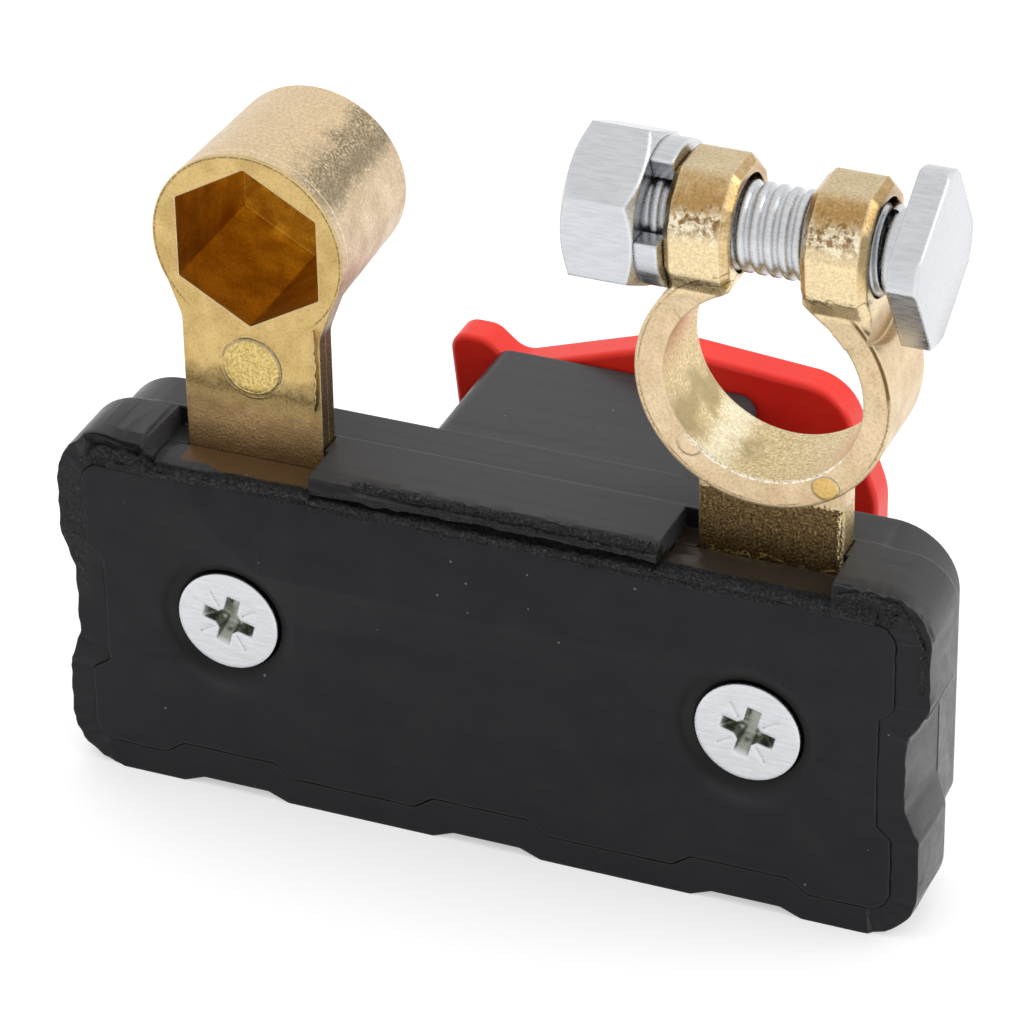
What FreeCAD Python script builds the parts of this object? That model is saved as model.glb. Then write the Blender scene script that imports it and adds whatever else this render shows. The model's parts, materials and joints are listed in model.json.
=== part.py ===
import FreeCAD, Part
import math
import os
from FreeCAD import Vector

os.makedirs("parts", exist_ok=True)

# Battery disconnect switch, millimetres.
# X runs along the case, Y from the screwed cover towards the handle, Z up.
# X = 0 is the middle of the case and Z = 0 the edge it stands on.
# Depths are counted from the cover's face and turned into Y by at_depth().

# Case: front flange, slimmer rear body and the boss that holds the spindle
case_width = 82.0
case_height = 35.2
flange_depth = 7.6
case_depth = 11.8
boss_end_depth = 26.8
rear_side_inset = 1.4
rear_base_inset = 0.8
top_left_corner = 6.0
top_right_corner = 4.6
foot_corner = 5.3
flange_rear_round = 0.5
rear_top_corner = 6.0
rear_foot_corner = 2.5
rear_side_end = 9.3
rear_foot_slope = 5.7
rear_foot_cut = 2.1
boss_width = 25.2
boss_centre_x = 3.0
boss_corner = 1.7
waist_height = 17.2
waist_flat = 7.2
waist_slope = 3.2
left_waist = 1.2
right_waist = 2.0
right_foot_setback = 0.6
foot_notch_spacing = 24.6
foot_notch_flat = 6.4
foot_notch_slope = 2.0
foot_notch_rise = 0.8

# Cover seat and the two terminal slots in the top wall
cover_left_rim = 2.45
cover_right_rim = 3.2
cover_foot_rim = 2.7
cover_top_drop = 2.1
lip_thickness = 3.3
cover_corner = 2.0
cover_thickness = 3.0
cover_gap = 0.08
cover_notch_shift = -0.6
cover_notch_flat = 9.1
cover_notch_slope = 1.8
cover_notch_rise = 1.3
cover_recess_left = 1.7
cover_recess_right = 1.4
cover_recess_low = 11.4
cover_recess_high = 22.4
cover_recess_slope = 1.2
slot_inner = 16.2
slot_outer = 31.9
block_gap = 0.4

# Inside of the case
rear_wall = 1.8
cavity_wall = 2.6
cavity_top_wall = 3.3
cavity_roof_over_bridge = 2.2
cavity_corner = 1.5
boss_wall = 2.6
boss_side_wall = 2.4
rotor_bore_radius = 9.6
seat_gap = 0.05
seat_pad_drop = 7.0
ledge_height = 2.1
ledge_play = 0.1
strip_play = 0.15

# Cover screws
screw_spacing = 49.2
screw_height = 18.4
screw_head_radius = 4.8
screw_head_rim = 0.5
screw_head_depth = 2.7
screw_shank_radius = 2.3
screw_length = 10.6
screw_post_radius = 4.2
screw_hole_gap = 0.25
screw_thread_gap = 0.03
dish_radius = 6.5
dish_depth = 0.45
recess_arm_width = 1.35
recess_arm_length = 5.3
recess_turn = -15.0
recess_depth = 1.9
recess_core = 2.5
tick_start = 1.6
tick_end = 3.2
tick_width = 0.2
tick_depth = 0.15

# Terminals: one brass casting each, sharing one sheet plane
sheet_depth = 4.75
sheet_thickness = 2.5
strip_width = 13.1
strip_end_height = 24.4
post_x = -23.3
post_height = 54.0
post_length = 15.05
post_base_radius = 8.97
post_tip_radius = 8.5
post_floor = 1.4
hex_flats = 13.3
flare_height = 3.2
casting_mark_radius = 2.7
casting_mark_rise = 0.15
casting_mark_drop = 11.7
ring_x = 24.1
ring_strip_x = 24.9
ring_height = 50.2
ring_bore_radius = 8.9
ring_outer_radius = 11.42
ring_front_lead = 0.45
ring_length = 8.35
slit_width = 6.2
slit_shift = 0.3
slit_mouth = 12.0
slit_neck_height = 58.9
ear_thickness = 5.8
ear_chamfer = 0.7
ear_corner = 1.5
ear_top_rise = 5.55
ear_top_half = 2.2
ear_shoulder_rise = 3.3
ear_shoulder_half = 4.75
ear_side_rise = 0.6
ear_side_half = 5.65
ear_hip_drop = 2.9
ear_hip_half = 5.3
ear_foot_drop = 5.0
ear_root_drop = 9.0
neck_drop = 8.0
ring_mark_radius = 1.15
ring_mark_places = [(-6.6, 6.3), (7.2, 6.4), (5.7, -8.4), (-6.4, -6.6)]

# Clamp bolt, nut and split washer
ear_height = 63.25
bolt_drop = 0.2
bolt_thread_radius = 3.9
bolt_hole_radius = 4.3
bolt_length = 30.0
bolt_head_flats = 12.33
bolt_blank_radius = 7.6
bolt_head_bevel = 0.4
bolt_head_thickness = 2.7
bolt_head_turn = 13.6
bolt_slack = 2.45
thread_pitch = 1.25
nut_flats = 13.0
nut_thickness = 6.5
nut_thread_gap = 0.1
nut_turn = 26.4
washer_outer_radius = 6.35
washer_inner_radius = 4.15
washer_thickness = 2.0
washer_gap = 0.05
washer_split = 68.0
washer_split_turn = 34.0
seat_face_play = 0.3

# Spindle line: everything that turns with the handle
axis_height = 21.5
bore_play = 0.06
spindle_radius = 4.0
spindle_square = 5.0
spindle_square_length = 4.6
spindle_tap_radius = 1.65
spindle_tap_depth = 7.0
collar_radius = 8.75
collar_thickness = 1.8
collar_notch_radius = 5.8
drive_square = 5.6
drive_length = 3.6
square_play = 0.1
seal_section_radius = 0.43
seal_groove_depth = 0.85
seal_groove_width = 1.3
seal_groove_inset = 0.7
thrust_washer_radius = 5.6
thrust_washer_thickness = 0.8
disc_spring_height = 1.15
disc_spring_thickness = 0.45
stack_gap = 0.05
stop_pin_radius = 1.25
stop_pin_offset = 7.2
stop_pin_seat = 1.5
stop_pin_angle = 225.0
stop_play = 2.0
handle_swing = 90.0

# Rotor, contact bridge and their spring
rotor_pilot_radius = 3.0
rotor_pilot_start = 3.4
rotor_hub_square = 6.0
rotor_hub_lead = 0.8
rotor_flange_radius = 8.8
rotor_flange_thickness = 2.6
rotor_socket_radius = 6.0
pilot_play = 0.08
pilot_ring_wall = 2.0
pilot_ring_length = 1.4
bridge_half_length = 10.3
bridge_half_width = 3.8
bridge_thickness = 2.0
contact_gap = 0.05
arm_reach = 6.2
arm_half_height = 4.0
arm_slope_drop = 5.0
clip_radius = 4.8
clip_thickness = 0.6
spring_mean_radius = 5.2
spring_wire_radius = 0.45
spring_turns = 2.5
spring_length = 3.1

# Handle, its washer and fixing screw
handle_gap = 0.4
handle_plate = 3.6
handle_edge = 0.55
grip_height = 4.15
grip_width = 10.0
grip_left = 12.0
grip_right = 19.5
grip_edge = 1.6
handle_half_height = 16.7
handle_tail = 17.3
handle_reach = 23.9
socket_roof = 1.0
screw_well_radius = 4.8
fixing_head_radius = 4.0
fixing_head_height = 2.0
fixing_shank_radius = 1.6
fixing_shank_length = 6.0
fixing_washer_radius = 4.4
fixing_washer_thickness = 0.8

# Places worked out from the sizes above
overall_depth = boss_end_depth + handle_gap + handle_plate + grip_height
axis_x = boss_centre_x
rear_inner_depth = case_depth - rear_wall
boss_inner_depth = boss_end_depth - boss_wall
sheet_back_depth = sheet_depth + sheet_thickness
ring_front_depth = sheet_depth - ring_front_lead
bolt_depth = ring_front_depth + ring_length / 2
bolt_height = ear_height - bolt_drop
cover_top = case_height - cover_top_drop
left_ear_face = ring_x + slit_shift - slit_width / 2
right_ear_face = ring_x + slit_shift + slit_width / 2
washer_start = left_ear_face - ear_thickness - washer_gap - washer_thickness
nut_start = washer_start - washer_gap - nut_thickness
head_start = right_ear_face + ear_thickness + bolt_slack
collar_start = (boss_inner_depth - stack_gap - thrust_washer_thickness - stack_gap
                - disc_spring_height - stack_gap - collar_thickness)
bridge_depth = sheet_back_depth + contact_gap
rotor_flange_start = bridge_depth + bridge_thickness + stack_gap + spring_length + stack_gap
rotor_end = collar_start - stack_gap
handle_back_depth = boss_end_depth + handle_gap
handle_front_depth = handle_back_depth + handle_plate
screw_well_floor = handle_back_depth + drive_length + stack_gap + socket_roof


def at_depth(depth):
    """Y of a plane that lies this far behind the cover's face."""
    return depth - overall_depth / 2


def spot(x, depth, z):
    """A point given by its X, its depth behind the cover and its height."""
    return Vector(x, at_depth(depth), z)


def rounded_wire(corners, place):
    """Closed wire through (u, v, radius) corners, each rounded by a tangent arc."""
    count = len(corners)
    pieces = []
    for i in range(count):
        u, v, radius = corners[i]
        before = corners[i - 1]
        after = corners[(i + 1) % count]
        here = Vector(u, v, 0)
        to_before = Vector(before[0], before[1], 0) - here
        to_after = Vector(after[0], after[1], 0) - here
        angle = to_before.getAngle(to_after)
        if radius <= 0 or angle > math.pi - 0.001:
            pieces.append((here, here, here))
            continue
        room = min(to_before.Length, to_after.Length) * 0.49
        run = min(radius / math.tan(angle / 2), room)
        radius = run * math.tan(angle / 2)
        to_before.normalize()
        to_after.normalize()
        half = to_before + to_after
        half.normalize()
        middle = here + half * (radius / math.sin(angle / 2) - radius)
        pieces.append((here + to_before * run, middle, here + to_after * run))
    edges = []
    for i in range(count):
        start, middle, end = pieces[i]
        if (end - start).Length > 1e-6:
            edges.append(Part.Arc(place(start.x, start.y), place(middle.x, middle.y),
                                  place(end.x, end.y)).toShape())
        following = pieces[(i + 1) % count][0]
        if (following - end).Length > 1e-6:
            edges.append(Part.makeLine(place(end.x, end.y), place(following.x, following.y)))
    return Part.Wire(edges)


def slab(corners, start, end):
    """Plate with the outline in X and Z, from one depth to another."""
    wire = rounded_wire(corners, lambda u, v: spot(u, start, v))
    return Part.Face(wire).extrude(Vector(0, end - start, 0))


def grown_slab(corners, start, end, growth):
    """The same plate, with its outline moved out by a clearance."""
    wire = rounded_wire(corners, lambda u, v: spot(u, start, v))
    face = Part.Face(wire).makeOffset2D(growth)
    return face.extrude(Vector(0, end - start, 0))


def block(x0, x1, start, end, z0, z1):
    """Plain box between two X, two depths and two heights."""
    return Part.makeBox(x1 - x0, end - start, z1 - z0, spot(x0, start, z0))


def barrel(x, z, radius, start, end):
    """Cylinder along Y."""
    return Part.makeCylinder(radius, end - start, spot(x, start, z), Vector(0, 1, 0))


def taper(x, z, start_radius, end_radius, start, end):
    """Cone along Y."""
    return Part.makeCone(start_radius, end_radius, end - start, spot(x, start, z), Vector(0, 1, 0))


def cross_bar(x0, x1, radius, height):
    """Cylinder along X at the clamp bolt's depth."""
    return Part.makeCylinder(radius, x1 - x0, spot(x0, bolt_depth, height), Vector(1, 0, 0))


def square_bar(side, start, end):
    """Square bar along Y on the spindle's axis."""
    return block(axis_x - side / 2, axis_x + side / 2, start, end,
                 axis_height - side / 2, axis_height + side / 2)


def flat_corners(sides, flats, turn):
    """Corners of a regular polygon about its centre, its first corner at this angle."""
    reach = flats / 2 / math.cos(math.pi / sides)
    angles = [math.radians(turn + 360 / sides * i) for i in range(sides)]
    return [(reach * math.cos(a), reach * math.sin(a)) for a in angles]


def bottom_run(left, right, low, rise, shift, flat, slope, corner):
    """Bottom edge from right to left, with a raised notch under each screw and one between."""
    points = [(right, low, corner)]
    for step in (1, 0, -1):
        middle = step * foot_notch_spacing + shift
        points.append((middle + flat / 2 + slope, low, 0.8))
        points.append((middle + flat / 2, low + rise, 0.8))
        points.append((middle - flat / 2, low + rise, 0.8))
        points.append((middle - flat / 2 - slope, low, 0.8))
    points.append((left, low, corner))
    return points


def flange_outline(left_inset, right_inset):
    """Flange: sides waisted by these insets and a notched foot."""
    side = case_width / 2
    foot_right = side - right_foot_setback
    low = waist_height - waist_flat / 2
    high = waist_height + waist_flat / 2
    points = [(-side, case_height, top_left_corner), (side, case_height, top_right_corner)]
    points.append((side, high + waist_slope, 2.0))
    points.append((side - right_inset, high, 2.0))
    points.append((side - right_inset, low, 2.0))
    points.append((foot_right, low - waist_slope, 2.0))
    points += bottom_run(-side, foot_right, 0, foot_notch_rise, 0, foot_notch_flat, foot_notch_slope,
                         foot_corner)
    points.append((-side, low - waist_slope, 2.0))
    points.append((-side + left_inset, low, 2.0))
    points.append((-side + left_inset, high, 2.0))
    points.append((-side, high + waist_slope, 2.0))
    return points


def rear_outline():
    """Rear body: rounded block behind the flange, its sides cut back at the foot."""
    side = case_width / 2 - rear_side_inset
    foot = side - rear_foot_cut
    slope_end = rear_side_end - rear_foot_slope
    return [(-side, case_height, rear_top_corner), (side, case_height, rear_top_corner),
            (side, rear_side_end, 2.0), (foot, slope_end, 1.0), (foot, rear_base_inset, rear_foot_corner),
            (-foot, rear_base_inset, rear_foot_corner), (-foot, slope_end, 1.0), (-side, rear_side_end, 2.0)]


def boss_outline():
    """Boss that holds the spindle and reaches down to the foot."""
    left = boss_centre_x - boss_width / 2
    right = boss_centre_x + boss_width / 2
    return [(left, case_height, boss_corner), (right, case_height, boss_corner),
            (right, 0, boss_corner), (left, 0, boss_corner)]


def soften(shape, radius, depth):
    """Round every edge that lies wholly at this depth."""
    y = at_depth(depth)
    rims = []
    for edge in shape.Edges:
        box = edge.BoundBox
        if box.YLength < 1e-6 and abs(box.YMin - y) < 1e-6:
            rims.append(edge)
    return shape.makeFillet(radius, rims)


def cover_outline():
    """Cover's edge, which follows the flange inside its rim."""
    left = -case_width / 2 + cover_left_rim
    right = case_width / 2 - cover_right_rim
    shoulder = case_height - lip_thickness
    points = [(left, shoulder, cover_corner), (-slot_outer, shoulder, 0), (-slot_outer, cover_top, 0)]
    points += [(slot_outer, cover_top, 0), (slot_outer, shoulder, 0), (right, shoulder, cover_corner)]
    points.append((right, cover_recess_high + cover_recess_slope, 0.8))
    points.append((right - cover_recess_right, cover_recess_high, 0.8))
    points.append((right - cover_recess_right, cover_recess_low, 0.8))
    points.append((right, cover_recess_low - cover_recess_slope, 0.8))
    points += bottom_run(left, right, cover_foot_rim, cover_notch_rise, cover_notch_shift,
                         cover_notch_flat, cover_notch_slope, cover_corner)
    points.append((left, cover_recess_low - cover_recess_slope, 0.8))
    points.append((left + cover_recess_left, cover_recess_low, 0.8))
    points.append((left + cover_recess_left, cover_recess_high, 0.8))
    points.append((left, cover_recess_high + cover_recess_slope, 0.8))
    return points


def make_housing():
    """Moulded case: open at the cover side, with a boss for the spindle."""
    front = rounded_wire(flange_outline(left_waist, right_waist), lambda u, v: spot(u, 0, v))
    back = rounded_wire(flange_outline(rear_side_inset, rear_side_inset), lambda u, v: spot(u, flange_depth, v))
    flange = Part.makeLoft([front, back], True, True)
    body = soften(flange, flange_rear_round, flange_depth)
    body = body.fuse(slab(rear_outline(), flange_depth - flange_rear_round - 0.1, case_depth))
    body = body.fuse(slab(boss_outline(), case_depth, boss_end_depth))
    top = case_height + 1
    cavity_left = -case_width / 2 + cover_left_rim + cover_recess_left + cavity_wall / 2
    cavity_right = case_width / 2 - cover_right_rim - cover_recess_right - cavity_wall / 2
    cavity_low = cover_foot_rim + cavity_wall
    cavity_high = case_height - cavity_top_wall
    cuts = [grown_slab(cover_outline(), -1, cover_thickness + cover_gap, cover_gap)]
    cuts.append(slab([(cavity_left, cavity_high, cavity_corner), (cavity_right, cavity_high, cavity_corner),
                      (cavity_right, cavity_low, cavity_corner), (cavity_left, cavity_low, cavity_corner)],
                     cover_thickness, rear_inner_depth))
    bridge_sweep = math.hypot(bridge_half_length, bridge_half_width)
    roof = case_height - cavity_roof_over_bridge
    cuts.append(block(axis_x - bridge_sweep, axis_x + bridge_sweep, cover_thickness, rear_inner_depth,
                      axis_height, roof))
    cuts.append(block(-slot_inner, slot_inner, -1, cover_thickness + cover_gap, cover_top,
                      cover_top + block_gap))
    for side, strip in ((-1, post_x), (1, ring_strip_x)):
        left = min(side * slot_inner, side * slot_outer)
        right = max(side * slot_inner, side * slot_outer)
        strip_half = strip_width / 2 + strip_play
        cuts.append(block(left, right, -1, sheet_depth, cover_top - ledge_height - ledge_play, top))
        cuts.append(block(left, strip, -1, sheet_back_depth + seat_gap, cover_top, top))
        cuts.append(block(strip - strip_half, strip + strip_half, -1, sheet_back_depth + seat_gap,
                          cavity_high - 1, top))
    cuts.append(barrel(axis_x, axis_height, rotor_bore_radius, rear_inner_depth - 0.1, boss_inner_depth))
    core_left = boss_centre_x - boss_width / 2 + boss_side_wall
    core_right = boss_centre_x + boss_width / 2 - boss_side_wall
    core_top = axis_height - rotor_bore_radius - boss_side_wall
    cuts.append(block(core_left, core_right, rear_inner_depth - 0.1, boss_inner_depth,
                      boss_side_wall, core_top))
    cuts.append(barrel(axis_x, axis_height, spindle_radius + bore_play, boss_inner_depth - 0.1,
                       boss_end_depth + 1))
    for shape in cuts:
        body = body.cut(shape)
    for side in (-1, 1):
        x = side * screw_spacing / 2
        post = barrel(x, screw_height, screw_post_radius, cover_thickness + seat_gap, case_depth)
        body = body.fuse(post)
        strip = post_x if side < 0 else ring_strip_x
        low = cavity_high - seat_pad_drop
        body = body.fuse(block(strip - strip_width / 2, strip + strip_width / 2,
                               sheet_back_depth + seat_gap, rear_inner_depth + 0.1, low, cavity_high + 0.1))
    for side in (-1, 1):
        x = side * screw_spacing / 2
        body = body.cut(barrel(x, screw_height, screw_shank_radius + screw_thread_gap,
                               cover_thickness - 1, screw_length + 0.3))
    pin_x, pin_z = stop_pin_place()
    body = body.cut(barrel(pin_x, pin_z, stop_pin_radius + 0.01, boss_inner_depth - 0.1,
                           boss_inner_depth + stop_pin_seat + 0.1))
    return body.removeSplitter()


def make_back_cover():
    """Screwed cover: plate, two ledges that close the slots and the rotor's front bearing."""
    plate = slab(cover_outline(), 0, cover_thickness)
    ledge_low = cover_top - ledge_height
    for side in (-1, 1):
        inner = side * (slot_inner + ledge_play)
        outer = side * (slot_outer - ledge_play)
        plate = plate.fuse(block(min(inner, outer), max(inner, outer), cover_thickness - 0.1,
                                 sheet_depth - seat_gap, ledge_low, cover_top))
    ring_radius = rotor_pilot_radius + pilot_play
    ring_end = cover_thickness + pilot_ring_length
    plate = plate.fuse(barrel(axis_x, axis_height, ring_radius + pilot_ring_wall, cover_thickness - 0.1,
                              ring_end))
    plate = plate.cut(barrel(axis_x, axis_height, ring_radius, cover_thickness, ring_end + 1))
    for side in (-1, 1):
        x = side * screw_spacing / 2
        rim = screw_head_radius + screw_hole_gap
        plate = plate.cut(taper(x, screw_height, dish_radius, rim, 0, dish_depth))
        plate = plate.cut(barrel(x, screw_height, rim, dish_depth - 0.01, screw_head_rim + 0.1))
        plate = plate.cut(taper(x, screw_height, rim, screw_shank_radius + screw_hole_gap,
                                screw_head_rim + 0.1, screw_head_depth + 0.1))
        plate = plate.cut(barrel(x, screw_height, screw_shank_radius + screw_hole_gap, 1,
                                 cover_thickness + 1))
    return plate.removeSplitter()


def make_cover_screw(side):
    """Countersunk tapping screw with a cross recess."""
    x = side * screw_spacing / 2
    screw = barrel(x, screw_height, screw_head_radius, 0, screw_head_rim)
    screw = screw.fuse(taper(x, screw_height, screw_head_radius, screw_shank_radius, screw_head_rim,
                             screw_head_depth))
    point = screw_shank_radius * 0.8
    screw = screw.fuse(barrel(x, screw_height, screw_shank_radius, screw_head_depth, screw_length - point))
    screw = screw.fuse(taper(x, screw_height, screw_shank_radius, screw_shank_radius - point * 0.6,
                             screw_length - point, screw_length))
    cuts = [(cross_recess_arm(x), 0), (cross_recess_arm(x), 90), (recess_centre(x), 45)]
    cuts += [(recess_tick(x), 45 + quarter * 90) for quarter in range(4)]
    for shape, turn in cuts:
        shape.rotate(spot(x, 0, screw_height), Vector(0, 1, 0), turn - recess_turn)
        screw = screw.cut(shape)
    return screw.removeSplitter()


def recess_centre(x):
    """Square core of the recess, between its arms."""
    half = recess_core / 2
    return block(x - half, x + half, -0.1, recess_depth * 0.8, screw_height - half, screw_height + half)


def recess_tick(x):
    """Thin mark between two arms of the recess."""
    half = tick_width / 2
    return block(x - half, x + half, -0.1, tick_depth, screw_height + tick_start, screw_height + tick_end)


def cross_recess_arm(x):
    """One bar of the cross recess, narrower at its floor."""
    floor_length = recess_arm_length * 0.45
    top = Part.makePolygon([spot(x - recess_arm_length / 2, -0.1, screw_height - recess_arm_width / 2),
                            spot(x + recess_arm_length / 2, -0.1, screw_height - recess_arm_width / 2),
                            spot(x + recess_arm_length / 2, -0.1, screw_height + recess_arm_width / 2),
                            spot(x - recess_arm_length / 2, -0.1, screw_height + recess_arm_width / 2),
                            spot(x - recess_arm_length / 2, -0.1, screw_height - recess_arm_width / 2)])
    low_half = recess_arm_width * 0.4
    floor = Part.makePolygon([spot(x - floor_length / 2, recess_depth, screw_height - low_half),
                              spot(x + floor_length / 2, recess_depth, screw_height - low_half),
                              spot(x + floor_length / 2, recess_depth, screw_height + low_half),
                              spot(x - floor_length / 2, recess_depth, screw_height + low_half),
                              spot(x - floor_length / 2, recess_depth, screw_height - low_half)])
    return Part.makeLoft([top, floor], True, True)


def contact_sheet(strip_x, top, side):
    """Flat part of a terminal: the strip out of the case and its arm towards the spindle."""
    half = strip_width / 2
    outer = strip_x + side * half
    inner = strip_x - side * half
    tip = axis_x + side * arm_reach
    arm_top = axis_height + arm_half_height
    arm_low = axis_height - arm_half_height
    slope_x = inner - side * arm_slope_drop * 0.8
    corners = [(outer, top, 0), (inner, top, 0), (inner, arm_top + arm_slope_drop, 1.5),
               (slope_x, arm_top, 2.0), (tip, arm_top, 1.0), (tip, arm_low, 1.0),
               (slope_x, arm_low, 2.5), (inner + side * 2.5, strip_end_height, 1.5),
               (outer, strip_end_height, 1.0)]
    return slab(corners, sheet_depth, sheet_back_depth)


def make_post_terminal():
    """Brass casting: tapered battery post with a hexagonal core, its strip and contact arm."""
    post = taper(post_x, post_height, post_base_radius, post_tip_radius, sheet_depth,
                 sheet_depth + post_length)
    sheet = contact_sheet(post_x, post_height, -1)
    half = strip_width / 2
    meet = post_height - math.sqrt(post_base_radius ** 2 - half ** 2)
    flare_reach = post_base_radius * 0.93
    flare = slab([(post_x - flare_reach, meet + flare_height, 0), (post_x + flare_reach, meet + flare_height, 0),
                  (post_x + half, meet - flare_height * 0.5, 3.0), (post_x + half, meet - flare_height, 0),
                  (post_x - half, meet - flare_height, 0), (post_x - half, meet - flare_height * 0.5, 3.0)],
                 sheet_depth, sheet_back_depth)
    body = post.fuse(sheet).fuse(flare)
    mark = barrel(post_x, post_height - casting_mark_drop, casting_mark_radius,
                  sheet_depth - casting_mark_rise, sheet_depth + 0.1)
    body = body.fuse(mark)
    core = [(post_x + u, post_height + v, 0.3) for u, v in flat_corners(6, hex_flats, 90)]
    body = body.cut(slab(core, sheet_depth - 1, sheet_depth + post_length - post_floor))
    return body.removeSplitter()


def ear_outline():
    """Facetted section of a clamp ear, as depth and height about the bolt."""
    half = ring_length / 2
    front = [(half, -ear_root_drop, 0), (half, -ear_foot_drop, 0.3), (ear_hip_half, -ear_hip_drop, ear_corner),
             (ear_side_half, ear_side_rise, ear_corner), (ear_shoulder_half, ear_shoulder_rise, ear_corner),
             (ear_top_half, ear_top_rise, ear_corner)]
    back = [(-u, v, radius) for u, v, radius in reversed(front)]
    return front + back


def make_ear(start):
    """One clamp ear with its corners broken at both ends."""
    wire = rounded_wire(ear_outline(), lambda u, v: spot(start, bolt_depth + u, ear_height + v))
    ear = Part.Face(wire).extrude(Vector(ear_thickness, 0, 0))
    rims = []
    for edge in ear.Edges:
        box = edge.BoundBox
        at_end = box.XLength < 1e-6
        if at_end and box.ZMin > ear_height - ear_foot_drop - 0.05:
            rims.append(edge)
    return ear.makeChamfer(ear_chamfer, rims)


def make_clamp_terminal():
    """Brass casting: split clamp ring with two ears, its strip and contact arm."""
    ring = barrel(ring_x, ring_height, ring_outer_radius, ring_front_depth, ring_front_depth + ring_length)
    neck_left = left_ear_face - ear_thickness
    neck_right = right_ear_face + ear_thickness
    neck_top = ear_height - neck_drop
    neck = block(neck_left, neck_right, ring_front_depth, ring_front_depth + ring_length,
                 ring_height, neck_top)
    body = ring.fuse(neck)
    body = body.fuse(make_ear(neck_left)).fuse(make_ear(right_ear_face))
    sheet = contact_sheet(ring_strip_x, ring_height - ring_bore_radius * 0.6, 1)
    body = body.fuse(sheet)
    for u, v in ring_mark_places:
        body = body.fuse(barrel(ring_x + u, ring_height + v, ring_mark_radius,
                                ring_front_depth - casting_mark_rise, ring_front_depth + 0.1))
    bore = barrel(ring_x, ring_height, ring_bore_radius, ring_front_depth - 1,
                  ring_front_depth + ring_length + 1)
    mouth = math.sqrt(ring_bore_radius ** 2 - (slit_mouth / 2) ** 2)
    middle = ring_x + slit_shift
    slit = slab([(ring_x - slit_mouth / 2, ring_height + mouth, 0),
                 (left_ear_face, slit_neck_height, 0.8), (left_ear_face, ear_height + 8, 0),
                 (right_ear_face, ear_height + 8, 0), (right_ear_face, slit_neck_height, 0.8),
                 (ring_x + slit_mouth / 2, ring_height + mouth, 0), (middle, ring_height, 0)],
                ring_front_depth - 3, ring_front_depth + ring_length + 3)
    body = body.cut(bore).cut(slit)
    body = body.cut(cross_bar(neck_left - 1, neck_right + 1, bolt_hole_radius, ear_height))
    body = body.cut(cross_bar(nut_start, neck_left, washer_outer_radius + seat_face_play, bolt_height))
    body = body.cut(cross_bar(neck_right, head_start + bolt_head_thickness,
                              bolt_blank_radius + seat_face_play, bolt_height))
    return body.removeSplitter()


def flat_prism(sides, flats, turn, start, thickness):
    """Bar with flats along the clamp bolt, a corner this far above the straight front."""
    corners = [(u, v, 0) for u, v in flat_corners(sides, flats, 180 - turn)]
    wire = rounded_wire(corners, lambda u, v: spot(start, bolt_depth + u, bolt_height + v))
    return Part.Face(wire).extrude(Vector(thickness, 0, 0))


def turned_limit(start, end, reach, start_bevel, end_bevel):
    """Turned blank with cones at its ends, which breaks the corners of a prism."""
    slope = math.tan(math.radians(30))
    profile = [spot(start, bolt_depth, bolt_height)]
    profile.append(spot(start, bolt_depth, bolt_height + reach - start_bevel))
    if start_bevel > 0:
        profile.append(spot(start + start_bevel * slope, bolt_depth, bolt_height + reach))
    if end_bevel > 0:
        profile.append(spot(end - end_bevel * slope, bolt_depth, bolt_height + reach))
    profile.append(spot(end, bolt_depth, bolt_height + reach - end_bevel))
    profile.append(spot(end, bolt_depth, bolt_height))
    profile.append(profile[0])
    face = Part.Face(Part.makePolygon(profile))
    return face.revolve(spot(start, bolt_depth, bolt_height), Vector(1, 0, 0), 360)


def make_clamp_bolt():
    """Bolt with a thin square head cut from a round blank, left slack in the ears."""
    end = head_start + bolt_head_thickness
    head = flat_prism(4, bolt_head_flats, bolt_head_turn, head_start, bolt_head_thickness)
    head = head.common(turned_limit(head_start, end, bolt_blank_radius, 0, bolt_head_bevel))
    tip = 0.8
    shank = cross_bar(head_start - bolt_length + tip, head_start + 0.1, bolt_thread_radius, bolt_height)
    point = Part.makeCone(bolt_thread_radius - tip * 0.8, bolt_thread_radius, tip,
                          spot(head_start - bolt_length, bolt_depth, bolt_height), Vector(1, 0, 0))
    return head.fuse(shank).fuse(point).removeSplitter()


def make_clamp_nut():
    """Hexagon nut, chamfered on both faces."""
    end = nut_start + nut_thickness
    reach = nut_flats / math.sqrt(3) + 0.02
    bevel = reach - nut_flats / 2 * 0.97
    nut = flat_prism(6, nut_flats, nut_turn, nut_start, nut_thickness)
    nut = nut.common(turned_limit(nut_start, end, reach, bevel, bevel))
    return nut.cut(cross_bar(nut_start - 1, end + 1, bolt_thread_radius + nut_thread_gap, bolt_height))


def make_lock_washer():
    """Split washer, its gap facing the front and up."""
    end = washer_start + washer_thickness
    ring = cross_bar(washer_start, end, washer_outer_radius, bolt_height)
    ring = ring.cut(cross_bar(washer_start - 1, end + 1, washer_inner_radius, bolt_height))
    reach = washer_outer_radius * 2
    half = math.radians(washer_split / 2)
    centre = math.radians(180 - washer_split_turn)
    corners = [(0, 0, 0)]
    for angle in (centre - half, centre + half):
        corners.append((reach * math.cos(angle), reach * math.sin(angle), 0))
    wire = rounded_wire(corners, lambda u, v: spot(washer_start - 1, bolt_depth + u, bolt_height + v))
    wedge = Part.Face(wire).extrude(Vector(washer_thickness + 2, 0, 0))
    return ring.cut(wedge)


def stop_pin_place():
    """The pin stands below and left of the spindle."""
    angle = math.radians(stop_pin_angle)
    return (axis_x + stop_pin_offset * math.cos(angle), axis_height + stop_pin_offset * math.sin(angle))


def make_stop_pin():
    """Dowel in the boss that ends the handle's swing."""
    x, z = stop_pin_place()
    return barrel(x, z, stop_pin_radius, collar_start + 0.2, boss_inner_depth + stop_pin_seat)


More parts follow.
